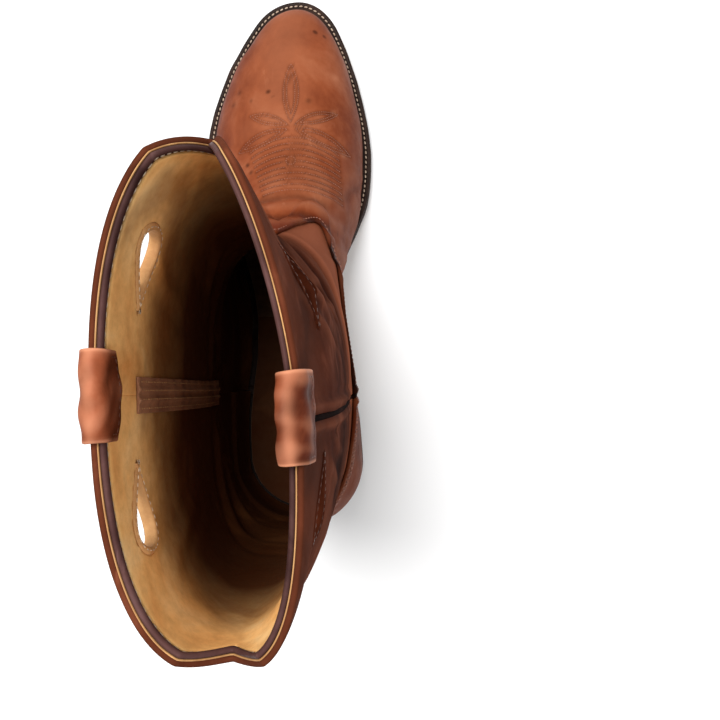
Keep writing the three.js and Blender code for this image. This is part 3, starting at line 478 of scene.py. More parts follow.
def resample(points, normals, pitch):
    """Evenly spaced places on a line of points, with a direction and a normal at each."""
    steps = np.linalg.norm(np.diff(points, axis=0), axis=1)
    length = np.concatenate([[0], np.cumsum(steps)])
    count = max(2, int(length[-1] / pitch))
    at = (np.arange(count) + 0.5) * length[-1] / count

    def along(values, shift=0.0):
        return np.stack([np.interp(at + shift, length, column) for column in values.T], axis=-1)

    normal = unit(along(normals))
    tangent = unit(along(points, 0.3 * pitch) - along(points, -0.3 * pitch))
    return along(points), tangent, unit(normal - tangent * np.sum(normal * tangent, 1)[:, None])


def stitches(name, lines, material, pitch, size, sink=0.05, slant=0.0):
    """A row of thread stitches along each line of (points, normals)."""
    placed = []
    for points, normals in lines:
        place, tangent, normal = resample(points, normals, pitch)
        forward = unit(tangent + np.cross(normal, tangent) * slant)
        side = np.cross(normal, forward)
        for p, t, s, n in zip(place, forward, side, normal):
            local = STITCH_POINTS * size
            placed.append(p + local[:, :1] * t + local[:, 1:2] * s + (local[:, 2:] - sink) * n)
    copies(name, STITCH_FACES, placed, material)


# ------------------------------------------------------------------ materials

class Nodes:
    """A material's node tree, with short ways to add the nodes that the finishes share."""

    def __init__(self, name):
        self.material = bpy.data.materials.new(name)
        self.material.use_nodes = True
        self.tree = self.material.node_tree
        self.shader = self.tree.nodes["Principled BSDF"]
        place = self.tree.nodes.new("ShaderNodeTexCoord")
        self.place = place.outputs["Object"]

    def new(self, kind, **settings):
        node = self.tree.nodes.new(kind)
        for key, value in settings.items():
            setattr(node, key, value)
        return node

    def link(self, source, target):
        self.tree.links.new(source, target)

    def stretched(self, scale, turn=(0, 0, 0)):
        mapping = self.new("ShaderNodeMapping")
        mapping.inputs["Scale"].default_value = scale
        mapping.inputs["Rotation"].default_value = turn
        self.link(self.place, mapping.inputs["Vector"])
        return mapping.outputs["Vector"]

    def noise(self, scale, detail=4, roughness=0.55, distortion=0.0, place=None):
        node = self.new("ShaderNodeTexNoise")
        node.inputs["Scale"].default_value = scale
        node.inputs["Detail"].default_value = detail
        node.inputs["Roughness"].default_value = roughness
        node.inputs["Distortion"].default_value = distortion
        self.link(place or self.place, node.inputs["Vector"])
        return node.outputs["Fac"]

    def cells(self, scale, feature="DISTANCE_TO_EDGE"):
        node = self.new("ShaderNodeTexVoronoi", feature=feature)
        node.inputs["Scale"].default_value = scale
        self.link(self.place, node.inputs["Vector"])
        return node.outputs["Distance"]

    def value(self, name):
        return self.new("ShaderNodeAttribute", attribute_name=name).outputs["Fac"]

    def ramp(self, factor, *stops):
        node = self.new("ShaderNodeValToRGB")
        ramp = node.color_ramp
        while len(ramp.elements) < len(stops):
            ramp.elements.new(0.5)
        for element, (position, colour) in zip(ramp.elements, stops):
            element.position = position
            grey = not hasattr(colour, "__len__")
            element.color = (colour, colour, colour, 1) if grey else (*linear(colour), 1)
        self.link(factor, node.inputs["Fac"])
        return node.outputs["Color"]

    def math(self, operation, a, b, clamp=False):
        node = self.new("ShaderNodeMath", operation=operation, use_clamp=clamp)
        for socket, value in zip(node.inputs, (a, b)):
            if hasattr(value, "links"):
                self.link(value, socket)
            else:
                socket.default_value = value
        return node.outputs["Value"]

    def mix(self, factor, a, b):
        node = self.new("ShaderNodeMix", data_type="RGBA")
        for socket, value in zip((node.inputs[0], node.inputs[6], node.inputs[7]), (factor, a, b)):
            if hasattr(value, "links"):
                self.link(value, socket)
            elif hasattr(value, "__len__"):
                socket.default_value = (*linear(value), 1)
            else:
                socket.default_value = value
        return node.outputs[2]

    def bump(self, height, strength, distance, below=None):
        node = self.new("ShaderNodeBump")
        node.inputs["Strength"].default_value = strength
        node.inputs["Distance"].default_value = distance
        self.link(height, node.inputs["Height"])
        if below is not None:
            self.link(below, node.inputs["Normal"])
        return node.outputs["Normal"]

    def finish(self, colour, roughness, normal=None, **sockets):
        self.link(colour, self.shader.inputs["Base Color"])
        if hasattr(roughness, "links"):
            self.link(roughness, self.shader.inputs["Roughness"])
        else:
            self.shader.inputs["Roughness"].default_value = roughness
        if normal is not None:
            self.link(normal, self.shader.inputs["Normal"])
        for key, value in sockets.items():
            self.shader.inputs[key.replace("_", " ")].default_value = value
        return self.material


def linear(colour):
    """Display values from 0 to 255, as the renderer's linear ones."""
    return tuple((c / 255) ** 2.2 for c in colour)


def upper_leather(name, pale, body, deep, gloss, shine, polish):
    """Waxed pull-up leather: mottled, pale where it is pulled and rubbed and where a highlight is
    painted, and dark with painted shade in its creases and shaded places.
    """
    n = Nodes(name)
    cloud = n.noise(22, 5, 0.6, 0.4)
    mottle = n.noise(120, 5, 0.7)
    colour = n.ramp(cloud, (0.34, deep), (0.52, body), (0.8, pale))
    colour = n.mix(n.ramp(mottle, (0.4, 0.0), (0.85, 0.35)), colour, deep)
    # Pale with real wear, and with painted highlights on raised and lit leather, from the panel's
    # values.
    colour = n.mix(n.math("MULTIPLY", n.value("wear_and_highlight"), 0.75, True), colour, pale)
    # Painted shade: darker in creases, recesses and places that the light misses, from the panel's
    # values.
    colour = n.mix(n.math("MULTIPLY", n.value("shade"), 0.9, True), colour, (34, 17, 12))
    streaks = n.noise(260, 3, 0.5, 0.8, n.stretched((1, 0.16, 0.5), (0, 0, 0.5)))
    scuff = n.math("MULTIPLY", n.ramp(streaks, (0.62, 0.0), (0.72, 1.0)),
                   n.ramp(n.noise(16, 2), (0.5, 0.0), (0.66, 0.5)))
    colour = n.mix(scuff, colour, pale)
    spots = n.math("MULTIPLY", n.ramp(n.cells(95, "F1"), (0.1, 1.0), (0.22, 0.0)),
                   n.ramp(n.noise(34, 1), (0.64, 0.0), (0.7, 0.7)))
    colour = n.mix(spots, colour, (52, 28, 20))
    grain = n.cells(900)
    pores = n.noise(1500, 3, 0.6)
    rough = n.ramp(mottle, (0.3, gloss - 0.06), (0.7, gloss + 0.1))
    normal = n.bump(grain, 0.18, 0.00025)
    normal = n.bump(pores, 0.15, 0.0002, normal)
    normal = n.bump(cloud, 0.12, 0.002, normal)
    return n.finish(colour, rough, normal, Specular_IOR_Level=shine, Metallic=polish)


def lining_leather(name):
    """Golden lining leather, blotched and rubbed, with painted shade darkening it down the leg."""
    n = Nodes(name)
    colour = n.ramp(n.noise(26, 5, 0.6, 0.5), (0.3, (222, 154, 88)),
                    (0.5, (246, 192, 122)), (0.7, (252, 212, 150)))
    fine = n.noise(180, 5, 0.7)
    colour = n.mix(n.ramp(fine, (0.4, 0.0), (0.75, 0.35)), colour, (150, 100, 56))
    split = n.new("ShaderNodeSeparateXYZ")
    n.link(n.place, split.inputs[0])
    # Painted shade: the lining turns dark brown with depth into the leg, where little light reaches.
    level = n.math("ADD", split.outputs["Z"], n.math("MULTIPLY", n.noise(20, 3), 0.05))
    depth = n.ramp(n.math("MULTIPLY", level, 3.0), (0.7, 0.97), (0.81, 0.66), (0.88, 0.0))
    colour = n.mix(depth, colour, (70, 33, 15))
    stains = n.ramp(n.noise(14, 3, 0.6, 1.5), (0.52, 0.0), (0.66, 0.5))
    colour = n.mix(stains, colour, (120, 76, 44))
    normal = n.bump(fine, 0.25, 0.0006)
    normal = n.bump(n.cells(520), 0.12, 0.0003, normal)
    return n.finish(colour, n.ramp(fine, (0.3, 0.62), (0.7, 0.8)), normal, Specular_IOR_Level=0.1)


def edge_leather(name, dark, pale, bands=(500, 500, 2600), roughness=0.5):
    """The stained and burnished cut edge of thick leather, with its layers showing faintly."""
    n = Nodes(name)
    layers = n.noise(1, 4, 0.6, 0.0, n.stretched(tuple(b * 0.12 for b in bands)))
    colour = n.ramp(layers, (0.32, dark), (0.7, pale))
    rub = n.ramp(n.noise(60, 5, 0.7), (0.55, 0.0), (0.78, 0.6))
    colour = n.mix(rub, colour, tuple(min(255, c * 1.35) for c in pale))
    normal = n.bump(layers, 0.25, 0.0004)
    normal = n.bump(n.noise(900, 3), 0.15, 0.0003, normal)
    rough = n.ramp(layers, (0.3, roughness - 0.1), (0.7, roughness + 0.12))
    return n.finish(colour, rough, normal, Specular_IOR_Level=0.1)


def sole_leather(name):
    """The worn tan underside of a leather sole, scratched along its length."""
    n = Nodes(name)
    cloud = n.noise(24, 5, 0.65, 0.4)
    colour = n.ramp(cloud, (0.3, (118, 82, 52)), (0.55, (152, 112, 74)), (0.75, (176, 138, 96)))
    dirt = n.ramp(n.noise(9, 4, 0.7), (0.45, 0.0), (0.7, 0.7))
    colour = n.mix(dirt, colour, (58, 44, 34))
    scratch = n.noise(320, 3, 0.6, 0.3, n.stretched((1, 0.07, 1), (0, 0, 0.2)))
    colour = n.mix(n.ramp(scratch, (0.6, 0.0), (0.68, 0.5)), colour, (70, 52, 40))
    normal = n.bump(scratch, 0.3, 0.0004)
    normal = n.bump(n.noise(700, 4), 0.2, 0.0004, normal)
    return n.finish(colour, 0.62, normal)


def thread(name, colour, dark):
    """Waxed thread, twisted and a little soiled."""
    n = Nodes(name)
    twist = n.noise(1400, 3, 0.6, 0.0, n.stretched((1, 0.4, 1), (0, 0, 0.6)))
    tone = n.ramp(twist, (0.3, dark), (0.65, colour))
    tone = n.mix(n.ramp(n.noise(90, 3), (0.5, 0.0), (0.75, 0.6)), tone, dark)
    return n.finish(tone, 0.55, n.bump(twist, 0.5, 0.0002))


def plain_leather(name, body, dark):
    """Undyed leather board for the hidden layers."""
    n = Nodes(name)
    fibre = n.noise(60, 6, 0.7, 0.3)
    colour = n.ramp(fibre, (0.3, dark), (0.7, body))
    return n.finish(colour, 0.8, n.bump(n.noise(800, 4), 0.3, 0.0004))


def cork(name):
    n = Nodes(name)
    crumbs = n.cells(420, "F1")
    colour = n.ramp(crumbs, (0.1, (176, 132, 88)), (0.5, (140, 98, 60)), (0.8, (88, 58, 36)))
    return n.finish(colour, 0.95, n.bump(crumbs, 0.5, 0.001))


def rubber(name):
    """Black moulded rubber, greyed by wear and dust."""
    n = Nodes(name)
    dust = n.noise(70, 5, 0.7)
    colour = n.ramp(dust, (0.35, (24, 23, 22)), (0.7, (52, 49, 46)))
    grit = n.noise(1300, 3, 0.6)
    return n.finish(colour, n.ramp(dust, (0.3, 0.6), (0.7, 0.85)), n.bump(grit, 0.35, 0.0003))


def metal(name, bright, dull, roughness):
    n = Nodes(name)
    tarnish = n.noise(300, 5, 0.7)
    colour = n.ramp(tarnish, (0.35, dull), (0.6, bright))
    brushed = n.noise(2200, 2, 0.5, 0.0, n.stretched((1, 0.08, 1)))
    rough = n.ramp(tarnish, (0.3, roughness + 0.15), (0.7, roughness))
    return n.finish(colour, rough, n.bump(brushed, 0.2, 0.0001), Metallic=1.0)


def pale_floor(name):
    n = Nodes(name)
    tone = n.ramp(n.noise(2.5, 3), (0.3, (240, 240, 240)), (0.7, (246, 246, 246)))
    return n.finish(tone, 0.9)


VAMP = upper_leather("vamp_leather", (162, 102, 74), (130, 67, 41), (98, 42, 23), 0.46, 0.02, 0.06)
# The shaft is the vamp's leather painted darker, as painted shade for the shadow over its walls.
SHAFT = upper_leather("shaft_leather", (140, 82, 60), (78, 40, 27), (46, 23, 16), 0.4, 0.0, 0.05)
STRAP = upper_leather("strap_leather", (190, 126, 96), (134, 72, 48), (80, 38, 25), 0.46, 0.03, 0.03)
DARK = upper_leather("bead_leather", (112, 84, 82), (82, 57, 54), (50, 33, 32), 0.5, 0.04, 0.0)
PIPING = upper_leather("piping_leather", (52, 30, 24), (26, 14, 11), (14, 8, 6), 0.5, 0.0, 0.05)
LINING = lining_leather("lining_leather")
RAW_EDGE = edge_leather("raw_edge_leather", (156, 112, 72), (190, 146, 98), roughness=0.7)
TAN_TRIM = plain_leather("tan_trim", (216, 168, 112), (170, 118, 72))
WELT_EDGE = edge_leather("welt_edge", (30, 21, 18), (54, 40, 34))
STACK = edge_leather("stacked_leather", (52, 33, 23), (84, 56, 38), (300, 300, 4200))
SOLE_UNDER = sole_leather("sole_leather")
CREAM_THREAD = thread("cream_thread", (228, 208, 180), (168, 140, 112))
WELT_THREAD = thread("welt_thread", (206, 182, 158), (140, 112, 92))
BROWN_THREAD = thread("brown_thread", (158, 100, 76), (92, 50, 36))
DARK_THREAD = thread("dark_thread", (98, 58, 42), (54, 29, 20))
TAN_THREAD = thread("tan_thread", (196, 150, 104), (132, 92, 60))
TAPE = plain_leather("tape_leather", (170, 120, 88), (112, 72, 50))
INSOLE = plain_leather("insole_leather", (120, 84, 56), (70, 46, 30))
CORK = cork("ground_cork")
RUBBER = rubber("black_rubber")
BRASS = metal("brass", (206, 170, 96), (120, 88, 46), 0.32)
STEEL = metal("spring_steel", (168, 170, 174), (110, 112, 116), 0.35)
PEG_WOOD = plain_leather("peg_wood", (206, 172, 122), (150, 116, 76))


# ------------------------------------------------------------------ grids of the upper

SEAM_MARGIN = 1.3          # from a panel's edge to the middle of the side seam
HIDDEN_MARGIN = 0.2


def panel_columns(front, count):
    """Columns from one side seam over the middle line to the other, closer at the middle."""
    s = np.linspace(-1, 1, count)
    a = 1 - np.abs(s) ** 0.75
    return np.where(s < 0, a, 2 - a) + (0 if front else 2)


def panel_grid(front, levels, count, rows, margin):
    """Columns and levels over the front or back half, a margin short of the side seams."""
    base = panel_columns(front, count)[None, :]
    r = np.linspace(0, 1, rows)[:, None]
    seams = (0, 2) if front else (2, 4)
    v = levels(np.repeat(base, rows, axis=0), r)
    low = seams[0] + column_step(seams[0], v[:, 0], margin)
    high = seams[1] - column_step(seams[1], v[:, -1], margin)
    c = low[:, None] + (base - seams[0]) / 2 * (high - low)[:, None]
    return c, levels(c, r)


def lap_level(c):
    return lap_line(side_of(c)[1])


def foot_levels(c, r):
    return (lap_level(c) + LAP) * r ** 0.95


def shaft_levels(c, r):
    return lerp(lap_level(c) - 0.01, 1, r)


def edge_distance(points):
    """Distance in millimetres from each point of a grid to the nearer of its two side edges."""
    steps = np.linalg.norm(np.diff(points, axis=1), axis=2)
    run = np.concatenate([np.zeros((len(points), 1)), np.cumsum(steps, axis=1)], axis=1)
    return np.minimum(run, run[:, -1:] - run)


def line_distance(places, line):
    """Distance from each 2-D place to a line of points."""
    best = np.full(places.shape[:-1], 1e9)
    for a, b in zip(np.array(line[:-1], float), np.array(line[1:], float)):
        t = np.clip(((places - a) @ (b - a)) / ((b - a) @ (b - a)), 0, 1)
        best = np.minimum(best, np.linalg.norm(places - a - t[..., None] * (b - a), axis=-1))
    return best


def fade_at_ends(places, line, reach):
    """1 along a line and 0 near its two ends."""
    first = np.linalg.norm(places - np.array(line[0], float), axis=-1)
    last = np.linalg.norm(places - np.array(line[-1], float), axis=-1)
    return smooth(np.minimum(first, last), 0, reach)


def crease(places, line, width, depth, reach=12):
    """A crease along a line: a valley with a soft roll of leather on either side."""
    x = line_distance(places, line) / width
    shape = -np.exp(-x * x) + 0.55 * np.exp(-((x - 2.1) / 0.9) ** 2)
    return depth * shape * fade_at_ends(places, line, reach)


def ripple(points, seed, size, height):
    """A slow waviness of the leather, from a few crossed waves."""
    rng = np.random.default_rng(seed)
    total = np.zeros(points.shape[:-1])
    for _ in range(7):
        direction = rng.normal(size=3)
        direction /= np.linalg.norm(direction)
        wave = size * rng.uniform(0.6, 1.6)
        total += np.sin(points @ direction * 2 * math.pi / wave + rng.uniform(0, 6.28))
    return total * height / 7


# Creases as lines of (y, z) on one side of the boot, with width and depth.
INNER_CREASES = [
    ([(84, 275), (72, 250), (62, 225), (55, 195), (52, 165)], 3.2, 1.3),
    ([(60, 282), (50, 262), (44, 238), (40, 205)], 2.6, 0.9),
    ([(74, 222), (66, 196), (64, 170), (68, 150)], 2.8, 1.1),
    ([(102, 132), (78, 124), (52, 120), (28, 118)], 4.0, 1.5),
    ([(98, 158), (72, 148), (46, 143), (22, 141)], 4.0, 1.3),
    ([(92, 182), (74, 172), (56, 168)], 3.4, 0.9),
    ([(-52, 152), (-34, 142), (-12, 136), (8, 134)], 4.2, 1.4),
    ([(-50, 126), (-30, 122), (-10, 118)], 3.6, 1.0),
    ([(-40, 236), (-26, 214), (-14, 186), (-8, 160)], 3.6, 1.0),
    ([(4, 262), (-4, 236), (-8, 210)], 2.6, 0.7),
]
OUTER_CREASES = [
    ([(104, 130), (82, 122), (58, 118), (34, 116)], 4.0, 1.5),
    ([(98, 156), (74, 147), (48, 143), (28, 142)], 4.0, 1.2),
    ([(90, 186), (78, 172), (62, 163)], 3.4, 0.9),
    ([(-52, 150), (-32, 141), (-8, 136), (12, 136)], 4.2, 1.4),
    ([(-50, 125), (-28, 119), (-6, 118)], 3.6, 1.0),
    ([(70, 268), (60, 236), (56, 204)], 3.6, 0.8),
    ([(-36, 254), (-30, 224), (-20, 194)], 3.6, 0.9),
]


def shaft_relief(points, c):
    inner, _ = side_of(c)
    places = points[..., 1:]
    total = ripple(points, 4, 70, 1.0) + ripple(points, 9, 26, 0.25)
    for side, creases in ((inner, INNER_CREASES), (~inner, OUTER_CREASES)):
        for line, width, depth in creases:
            total += np.where(side, crease(places, line, width, depth), 0)
    return total


def calm_ends(c, v, rim_calm):
    """1 over the shaft, 0 under the leather that laps over it, and less at the rim."""
    return smooth(v, lap_level(c), lap_level(c) + 0.06) * (1 - rim_calm * smooth(v, 0.9, 0.98))


def rolled_edge(distance):
    """The panel's edge, turned up into a soft roll beside the seam."""
    return 0.75 * np.exp(-((distance - 2.0) / 1.5) ** 2) - 0.5 * np.exp(-((distance - 5.2) / 1.8) ** 2)


# ------------------------------------------------------------------ the vamp's stitching

PETAL_POINTS = 24          # along each side of a petal
PETAL_ROWS = (1.0, 0.55)   # sizes of a petal's two rows of stitching
PETALS = [                 # base, tip and half width
    ((2.0, 177), (1.6, 216), 4.4), ((0.2, 175.4), (-22.5, 184), 3.3), ((4.2, 175.4), (28, 185.6), 3.3),
    ((0, 172.6), (-29, 161.5), 4.3), ((4.6, 172.6), (34.5, 162), 4.3),
]
LOOP_CENTRE, LOOP_R = (2.6, 152), 2.6   # the small loop under the flower
LOOP_CLEAR = 5
WRINKLE_ROWS = 10
FLOWER_X, FLOWER_Y, FLOWER_ABOVE = (-36, 42), (124, 222), 30      # room that the stitching takes


def petal(base, tip, half):
    """A leaf shape from its base to its tip, stitched in two rows."""
    base, tip = np.array(base, float), np.array(tip, float)
    ahead = tip - base
    side = np.array([-ahead[1], ahead[0]]) / np.linalg.norm(ahead)
    place = np.linspace(0, 1, PETAL_POINTS)
    loops = []
    for scale in PETAL_ROWS:
        t = lerp(0.5 - 0.5 * scale ** 0.5, 0.5 + 0.5 * scale ** 0.5, place)[:, None]
        swell = (half * scale * np.sin(math.pi * place) ** 0.85)[:, None]
        one, other = base + ahead * t + side * swell, base + ahead * t - side * swell
        loops.append(np.concatenate([one, other[::-1]]))
    return loops


def medallion_lines():
    lines = [row for place in PETALS for row in petal(*place)]
    turn = np.linspace(0, 2 * math.pi, 14)
    lines.append(LOOP_CENTRE + LOOP_R * np.stack([np.cos(turn), np.sin(turn)], axis=-1))
    return lines


def wrinkle_lines():
    """Arched rows of stitching across the flex of the foot."""
    lines = []
    for k in range(WRINKLE_ROWS):
        t = k / (WRINKLE_ROWS - 1)
        half = lerp(25, 21, t)
        x = np.linspace(-half, half, 40)
        y = lerp(167, 133, t) - lerp(7.5, 3.0, t) * (x / half) ** 2
        line = np.stack([x + lerp(3.5, 9.0, t), y], axis=-1)
        beside_loop = np.linalg.norm(line - LOOP_CENTRE, axis=1) > LOOP_CLEAR
        lines.append(line[beside_loop])
    return lines


def stitch_dent(points, lines, width, depth):
    """How far stitching pulls the leather in, for points on the top of the foot."""
    x, y, z = np.moveaxis(points, -1, 0)
    near = (x > FLOWER_X[0]) & (x < FLOWER_X[1]) & (y > FLOWER_Y[0]) & (y < FLOWER_Y[1])
    near &= z > FLOWER_ABOVE
    places = points[near][:, :2]
    total = np.zeros(x.shape)
    for line in lines:
        total[near] = np.maximum(total[near], np.exp(-(line_distance(places, line) / width) ** 2))
    return -depth * total


FOOT_CREASES = [
    ([(-34, 118), (-12, 127), (8, 129), (26, 124)], 2.6, 0.9),
    ([(-38, 104), (-16, 113), (10, 115), (28, 108)], 2.8, 1.1),
    ([(22, 100), (14, 108), (12, 116)], 2.0, 0.8),
    ([(30, 88), (24, 96), (23, 106)], 2.2, 0.9),
    ([(-44, 140), (-36, 132), (-30, 122)], 2.6, 0.7),
    ([(40, 150), (34, 140), (31, 130)], 2.4, 0.6),
]

# Dark specks and pale scuffs on the toe, as (x, y, radius).
SPECKS = [(-30, 202, 1.6), (-34, 195, 1.4), (-22, 194, 1), (12, 191, 1.8)]
SCUFFS = [(27, 210, 2.4), (31, 161, 1.8), (26, 186, 1.4)]


def marks(points, spots):
    """How strongly each point is marked by a spot, from 0 to 1."""
    total = np.zeros(points.shape[:-1])
    for x, y, radius in spots:
        distance = np.linalg.norm(points[..., :2] - [x, y], axis=-1)
        total = np.maximum(total, np.exp(-(distance / radius) ** 2))
    return total


def vamp_relief(points, stitched):
    places = points[..., :2]
    total = ripple(points, 2, 60, 0.5) + ripple(points, 7, 18, 0.12)
    for line, width, depth in FOOT_CREASES:
        total += crease(places, line, width, depth, 7)
    return total + stitch_dent(points, stitched, 0.8, 0.4)


LEATHER_T, FOOT_LEATHER_T = 2.0, 1.9    # of the shaft, and of the vamp and counter
LAP_CLEAR = 0.5            # between the shaft and the leather that laps over it


def leather_panel(name, node, points, outer, inner, material, shade, wear_and_highlight, **shape):
    """A panel of the upper between two distances out from the skin."""
    normals = grid_normals(points)
    return shell(name, points + normals * outer[..., None], points + normals * inner[..., None],
                 material, "upper_leather", [node], {"shade": shade, "wear_and_highlight": wear_and_highlight}, **shape)


def foot_panel(name, node, points, v, lap, relief, shade, wear_and_highlight):
    """A panel of the foot, which rises at its top edge to lap over the shaft."""
    inner = lerp(-LEATHER_T, LAP_CLEAR, smooth(v, lap - 0.02, lap - 0.002))
    outer = inner + FOOT_LEATHER_T + relief
    return leather_panel(name, node, points, outer, inner, VAMP, shade, wear_and_highlight)


def make_vamp(stitched):
    c, v = panel_grid(True, foot_levels, 251, 150, SEAM_MARGIN)
    points = skin(c, v)
    x, y, _ = np.moveaxis(points, -1, 0)
    lap = lap_level(c)
    fade = smooth(v, 0, 0.03)
    relief = vamp_relief(points, stitched) * fade + rolled_edge(edge_distance(points)) * fade
    # Painted shade at the welt and the lap, in creases, on steep sides (more on the inner side), under
    # the shaft and in the stitching; the specks are real dark marks.
    shade = np.exp(-(v / 0.02) ** 2) * 0.55 + smooth(v, lap + LAP - 0.012, lap + LAP) * 0.3
    steep = 1 - smooth(grid_normals(points)[..., 2], 0.1, 0.85)
    shade += np.clip(-relief * 0.5, 0, 0.5) + np.where(side_of(c)[0], 0.42, 0.16) * steep
    shade += 0.35 * (1 - smooth(y, 20, 110)) + 0.55 * marks(points, SPECKS)
    shade -= stitch_dent(points, stitched, 0.7, 0.32) * fade
    # Pale along the middle of the toe, from rubbing and a painted highlight, and painted highlights on
    # raised leather; the scuffs are real rubbed marks.
    wear_and_highlight = 0.5 * np.exp(-((x + 4) / 20) ** 2) * smooth(y, 120, 200)
    wear_and_highlight += np.clip(relief * 0.45, 0, 0.5) + 0.9 * marks(points, SCUFFS)
    return foot_panel("vamp_panel", "vamp", points, v, lap, relief, shade, wear_and_highlight)


def make_counter():
    c, v = panel_grid(False, foot_levels, 171, 70, SEAM_MARGIN)
    points = skin(c, v)
    relief = (ripple(points, 12, 50, 0.6) + rolled_edge(edge_distance(points))) * smooth(v, 0, 0.04)
    # Painted shade over the whole counter, deeper at the welt and in creases; painted highlights on
    # raised leather.
    shade = 0.5 + np.exp(-(v / 0.03) ** 2) * 0.4 + np.clip(-relief * 0.4, 0, 0.4)
    wear_and_highlight = np.clip(relief * 0.4, 0, 0.5)
    foot_panel("counter_panel", "counter", points, v, lap_level(c), relief, shade, wear_and_highlight)


def make_shaft(name, node, front, cutters):
    c, v = panel_grid(front, shaft_levels, 231 if front else 191, 150, SEAM_MARGIN)
    points = skin(c, v)
    z = points[..., 2]
    relief = shaft_relief(points, c) * calm_ends(c, v, 0.75)
    edge = rolled_edge(edge_distance(points)) * smooth(v, 0.45, 0.6)
    rim = smooth(v, 0.985, 1.0)
    # Painted shade in creases and above the ankle, less of it near the top, and a darker band at the
    # rim; painted light low down, and painted highlights with some wear on raised leather and towards
    # the rim.
    shade = np.clip(-relief * 0.35, 0, 0.6) + 0.48 * smooth(z, 114, 145) - 0.4 * smooth(z, 200, 262)
    shade = np.maximum(shade, 0) * (1 - rim) + 0.2 * rim
    wear_and_highlight = np.clip((relief + edge) * 0.5, 0, 0.7) + 0.15 * smooth(z, 255, 285) + 0.1 * rim
    wear_and_highlight += 0.7 * (1 - smooth(z, 112, 150))
    panel = leather_panel(name, node, points, relief + edge, relief * 0.8 - LEATHER_T, SHAFT,
                          shade, wear_and_highlight, bulge=0.7)
    cut_holes(panel, cutters)


# ------------------------------------------------------------------ pull holes

HOLE_LENGTH, HOLE_HALF, HOLE_DROP = 30, 14, 29
ROUND_AT = 0.15
HOLE_CLEAR = 0.5           # between a hole's cut edge and its binding
HOLE_STEPS = 48
CUT_REACH = 15.0
POINT_AT, POINT_POWER, ROUND_R = 0.95, 0.6, 0.45    # the teardrop's shape, along its length
# Side seam, the way from it, and the distance in millimetres.
PULL_HOLES = {
    "inner_front": (0, 1, 44),
    "inner_back": (4, -1, 26),
    "outer_front": (2, -1, 42),
    "outer_back": (2, 1, 36),
}


class PullHole:
    """A teardrop hole beside a side seam, with its point towards the seam."""

    def __init__(self, seam, away, distance):
        _, _, up, _ = skin_frame(seam, 1.0)
        self.v = 1 - HOLE_DROP / np.linalg.norm(up)
        walk = seam + away * np.arange(0, 0.9, 0.002)
        along = np.linalg.norm(np.diff(skin(walk, self.v), axis=0), axis=1)
        self.c = walk[1 + int(np.searchsorted(np.cumsum(along), distance))]
        self.point, _, _, self.normal = skin_frame(self.c, self.v)
        upright = np.array([0, 0, 1.0]) - self.normal * self.normal[2]
        self.upright = unit(upright)
        self.forward = unit(np.cross(self.upright, self.normal) * away)

    def outline(self, grow):
        angle = 2 * math.pi * np.arange(HOLE_STEPS) / HOLE_STEPS
        f = (1 - np.cos(angle)) / 2
        drop = np.sqrt(np.clip(1 - (1 - f) ** 2, 0, 1)) * np.minimum(1, (f / POINT_AT) ** POINT_POWER)
        y = np.sign(np.round(np.sin(angle), 9)) * HOLE_HALF * drop * round_end(1 - f, ROUND_R)
        flat = np.stack([(f - 0.5) * HOLE_LENGTH, y], axis=-1)
        centre = np.array([ROUND_AT * HOLE_LENGTH, 0])
        return (flat - centre) * (1 + grow / HOLE_HALF) + centre

    def at(self, flat, depth):
        return (self.point + flat[:, :1] * self.forward + flat[:, 1:] * self.upright
                + np.asarray(depth)[..., None] * self.normal)

    def depth(self, flat):
        """How deep the skin lies behind the hole's middle plane."""
        start = self.at(flat, np.zeros(len(flat)))
        c, v = np.full(len(flat), float(self.c)), np.full(len(flat), float(self.v))
        for _ in range(6):
            point, along, up, _ = skin_frame(c, v)
            miss = start - point
            c += np.sum(miss * along, 1) / np.sum(along * along, 1)
            v += np.sum(miss * up, 1) / np.sum(up * up, 1)
        return (skin(c, v) - self.point) @ self.normal


def hole_cutter(hole):
    flat = hole.outline(HOLE_CLEAR)
    count = len(flat)
    ends = (-CUT_REACH, CUT_REACH)
    rings = np.concatenate([hole.at(flat, np.full(count, reach)) for reach in ends])
    faces = [(j, (j + 1) % count, count + (j + 1) % count, count + j) for j in range(count)]
    faces += [tuple(range(count))[::-1], tuple(range(count, 2 * count))]
    mesh = bpy.data.meshes.new("cutter")
    mesh.from_pydata(to_part(rings).tolist(), [], faces)
    cutter = bpy.data.objects.new("cutter", mesh)
    scene_collection.objects.link(cutter)
    outward(cutter)
    return cutter


def cut_holes(piece, holes):
    for hole in holes:
        cutter = hole_cutter(hole)
        apply_modifier(piece, "BOOLEAN", operation="DIFFERENCE", solver="EXACT", object=cutter)
        bpy.data.objects.remove(cutter)


# The binding's section, out from the hole's edge and out from the skin.
TRIM_PROFILE = [(-0.5, -2.9), (-0.5, -0.5), (-0.3, 0.0), (0.2, 0.35), (1.3, 0.42), (2.1, 0.1),
                (2.2, -0.6), (2.2, -3.2), (2.1, -3.8), (1.3, -4.1), (0.2, -3.7), (-0.3, -3.3)]
TRIM_STITCHES_OUT = 1.0
TRIM_OUTSIDE, TRIM_INSIDE = 0.4, -4.1   # the binding's two faces, from the skin
TRIM_TURN = 0.35           # how far a face turns outwards before its leather changes


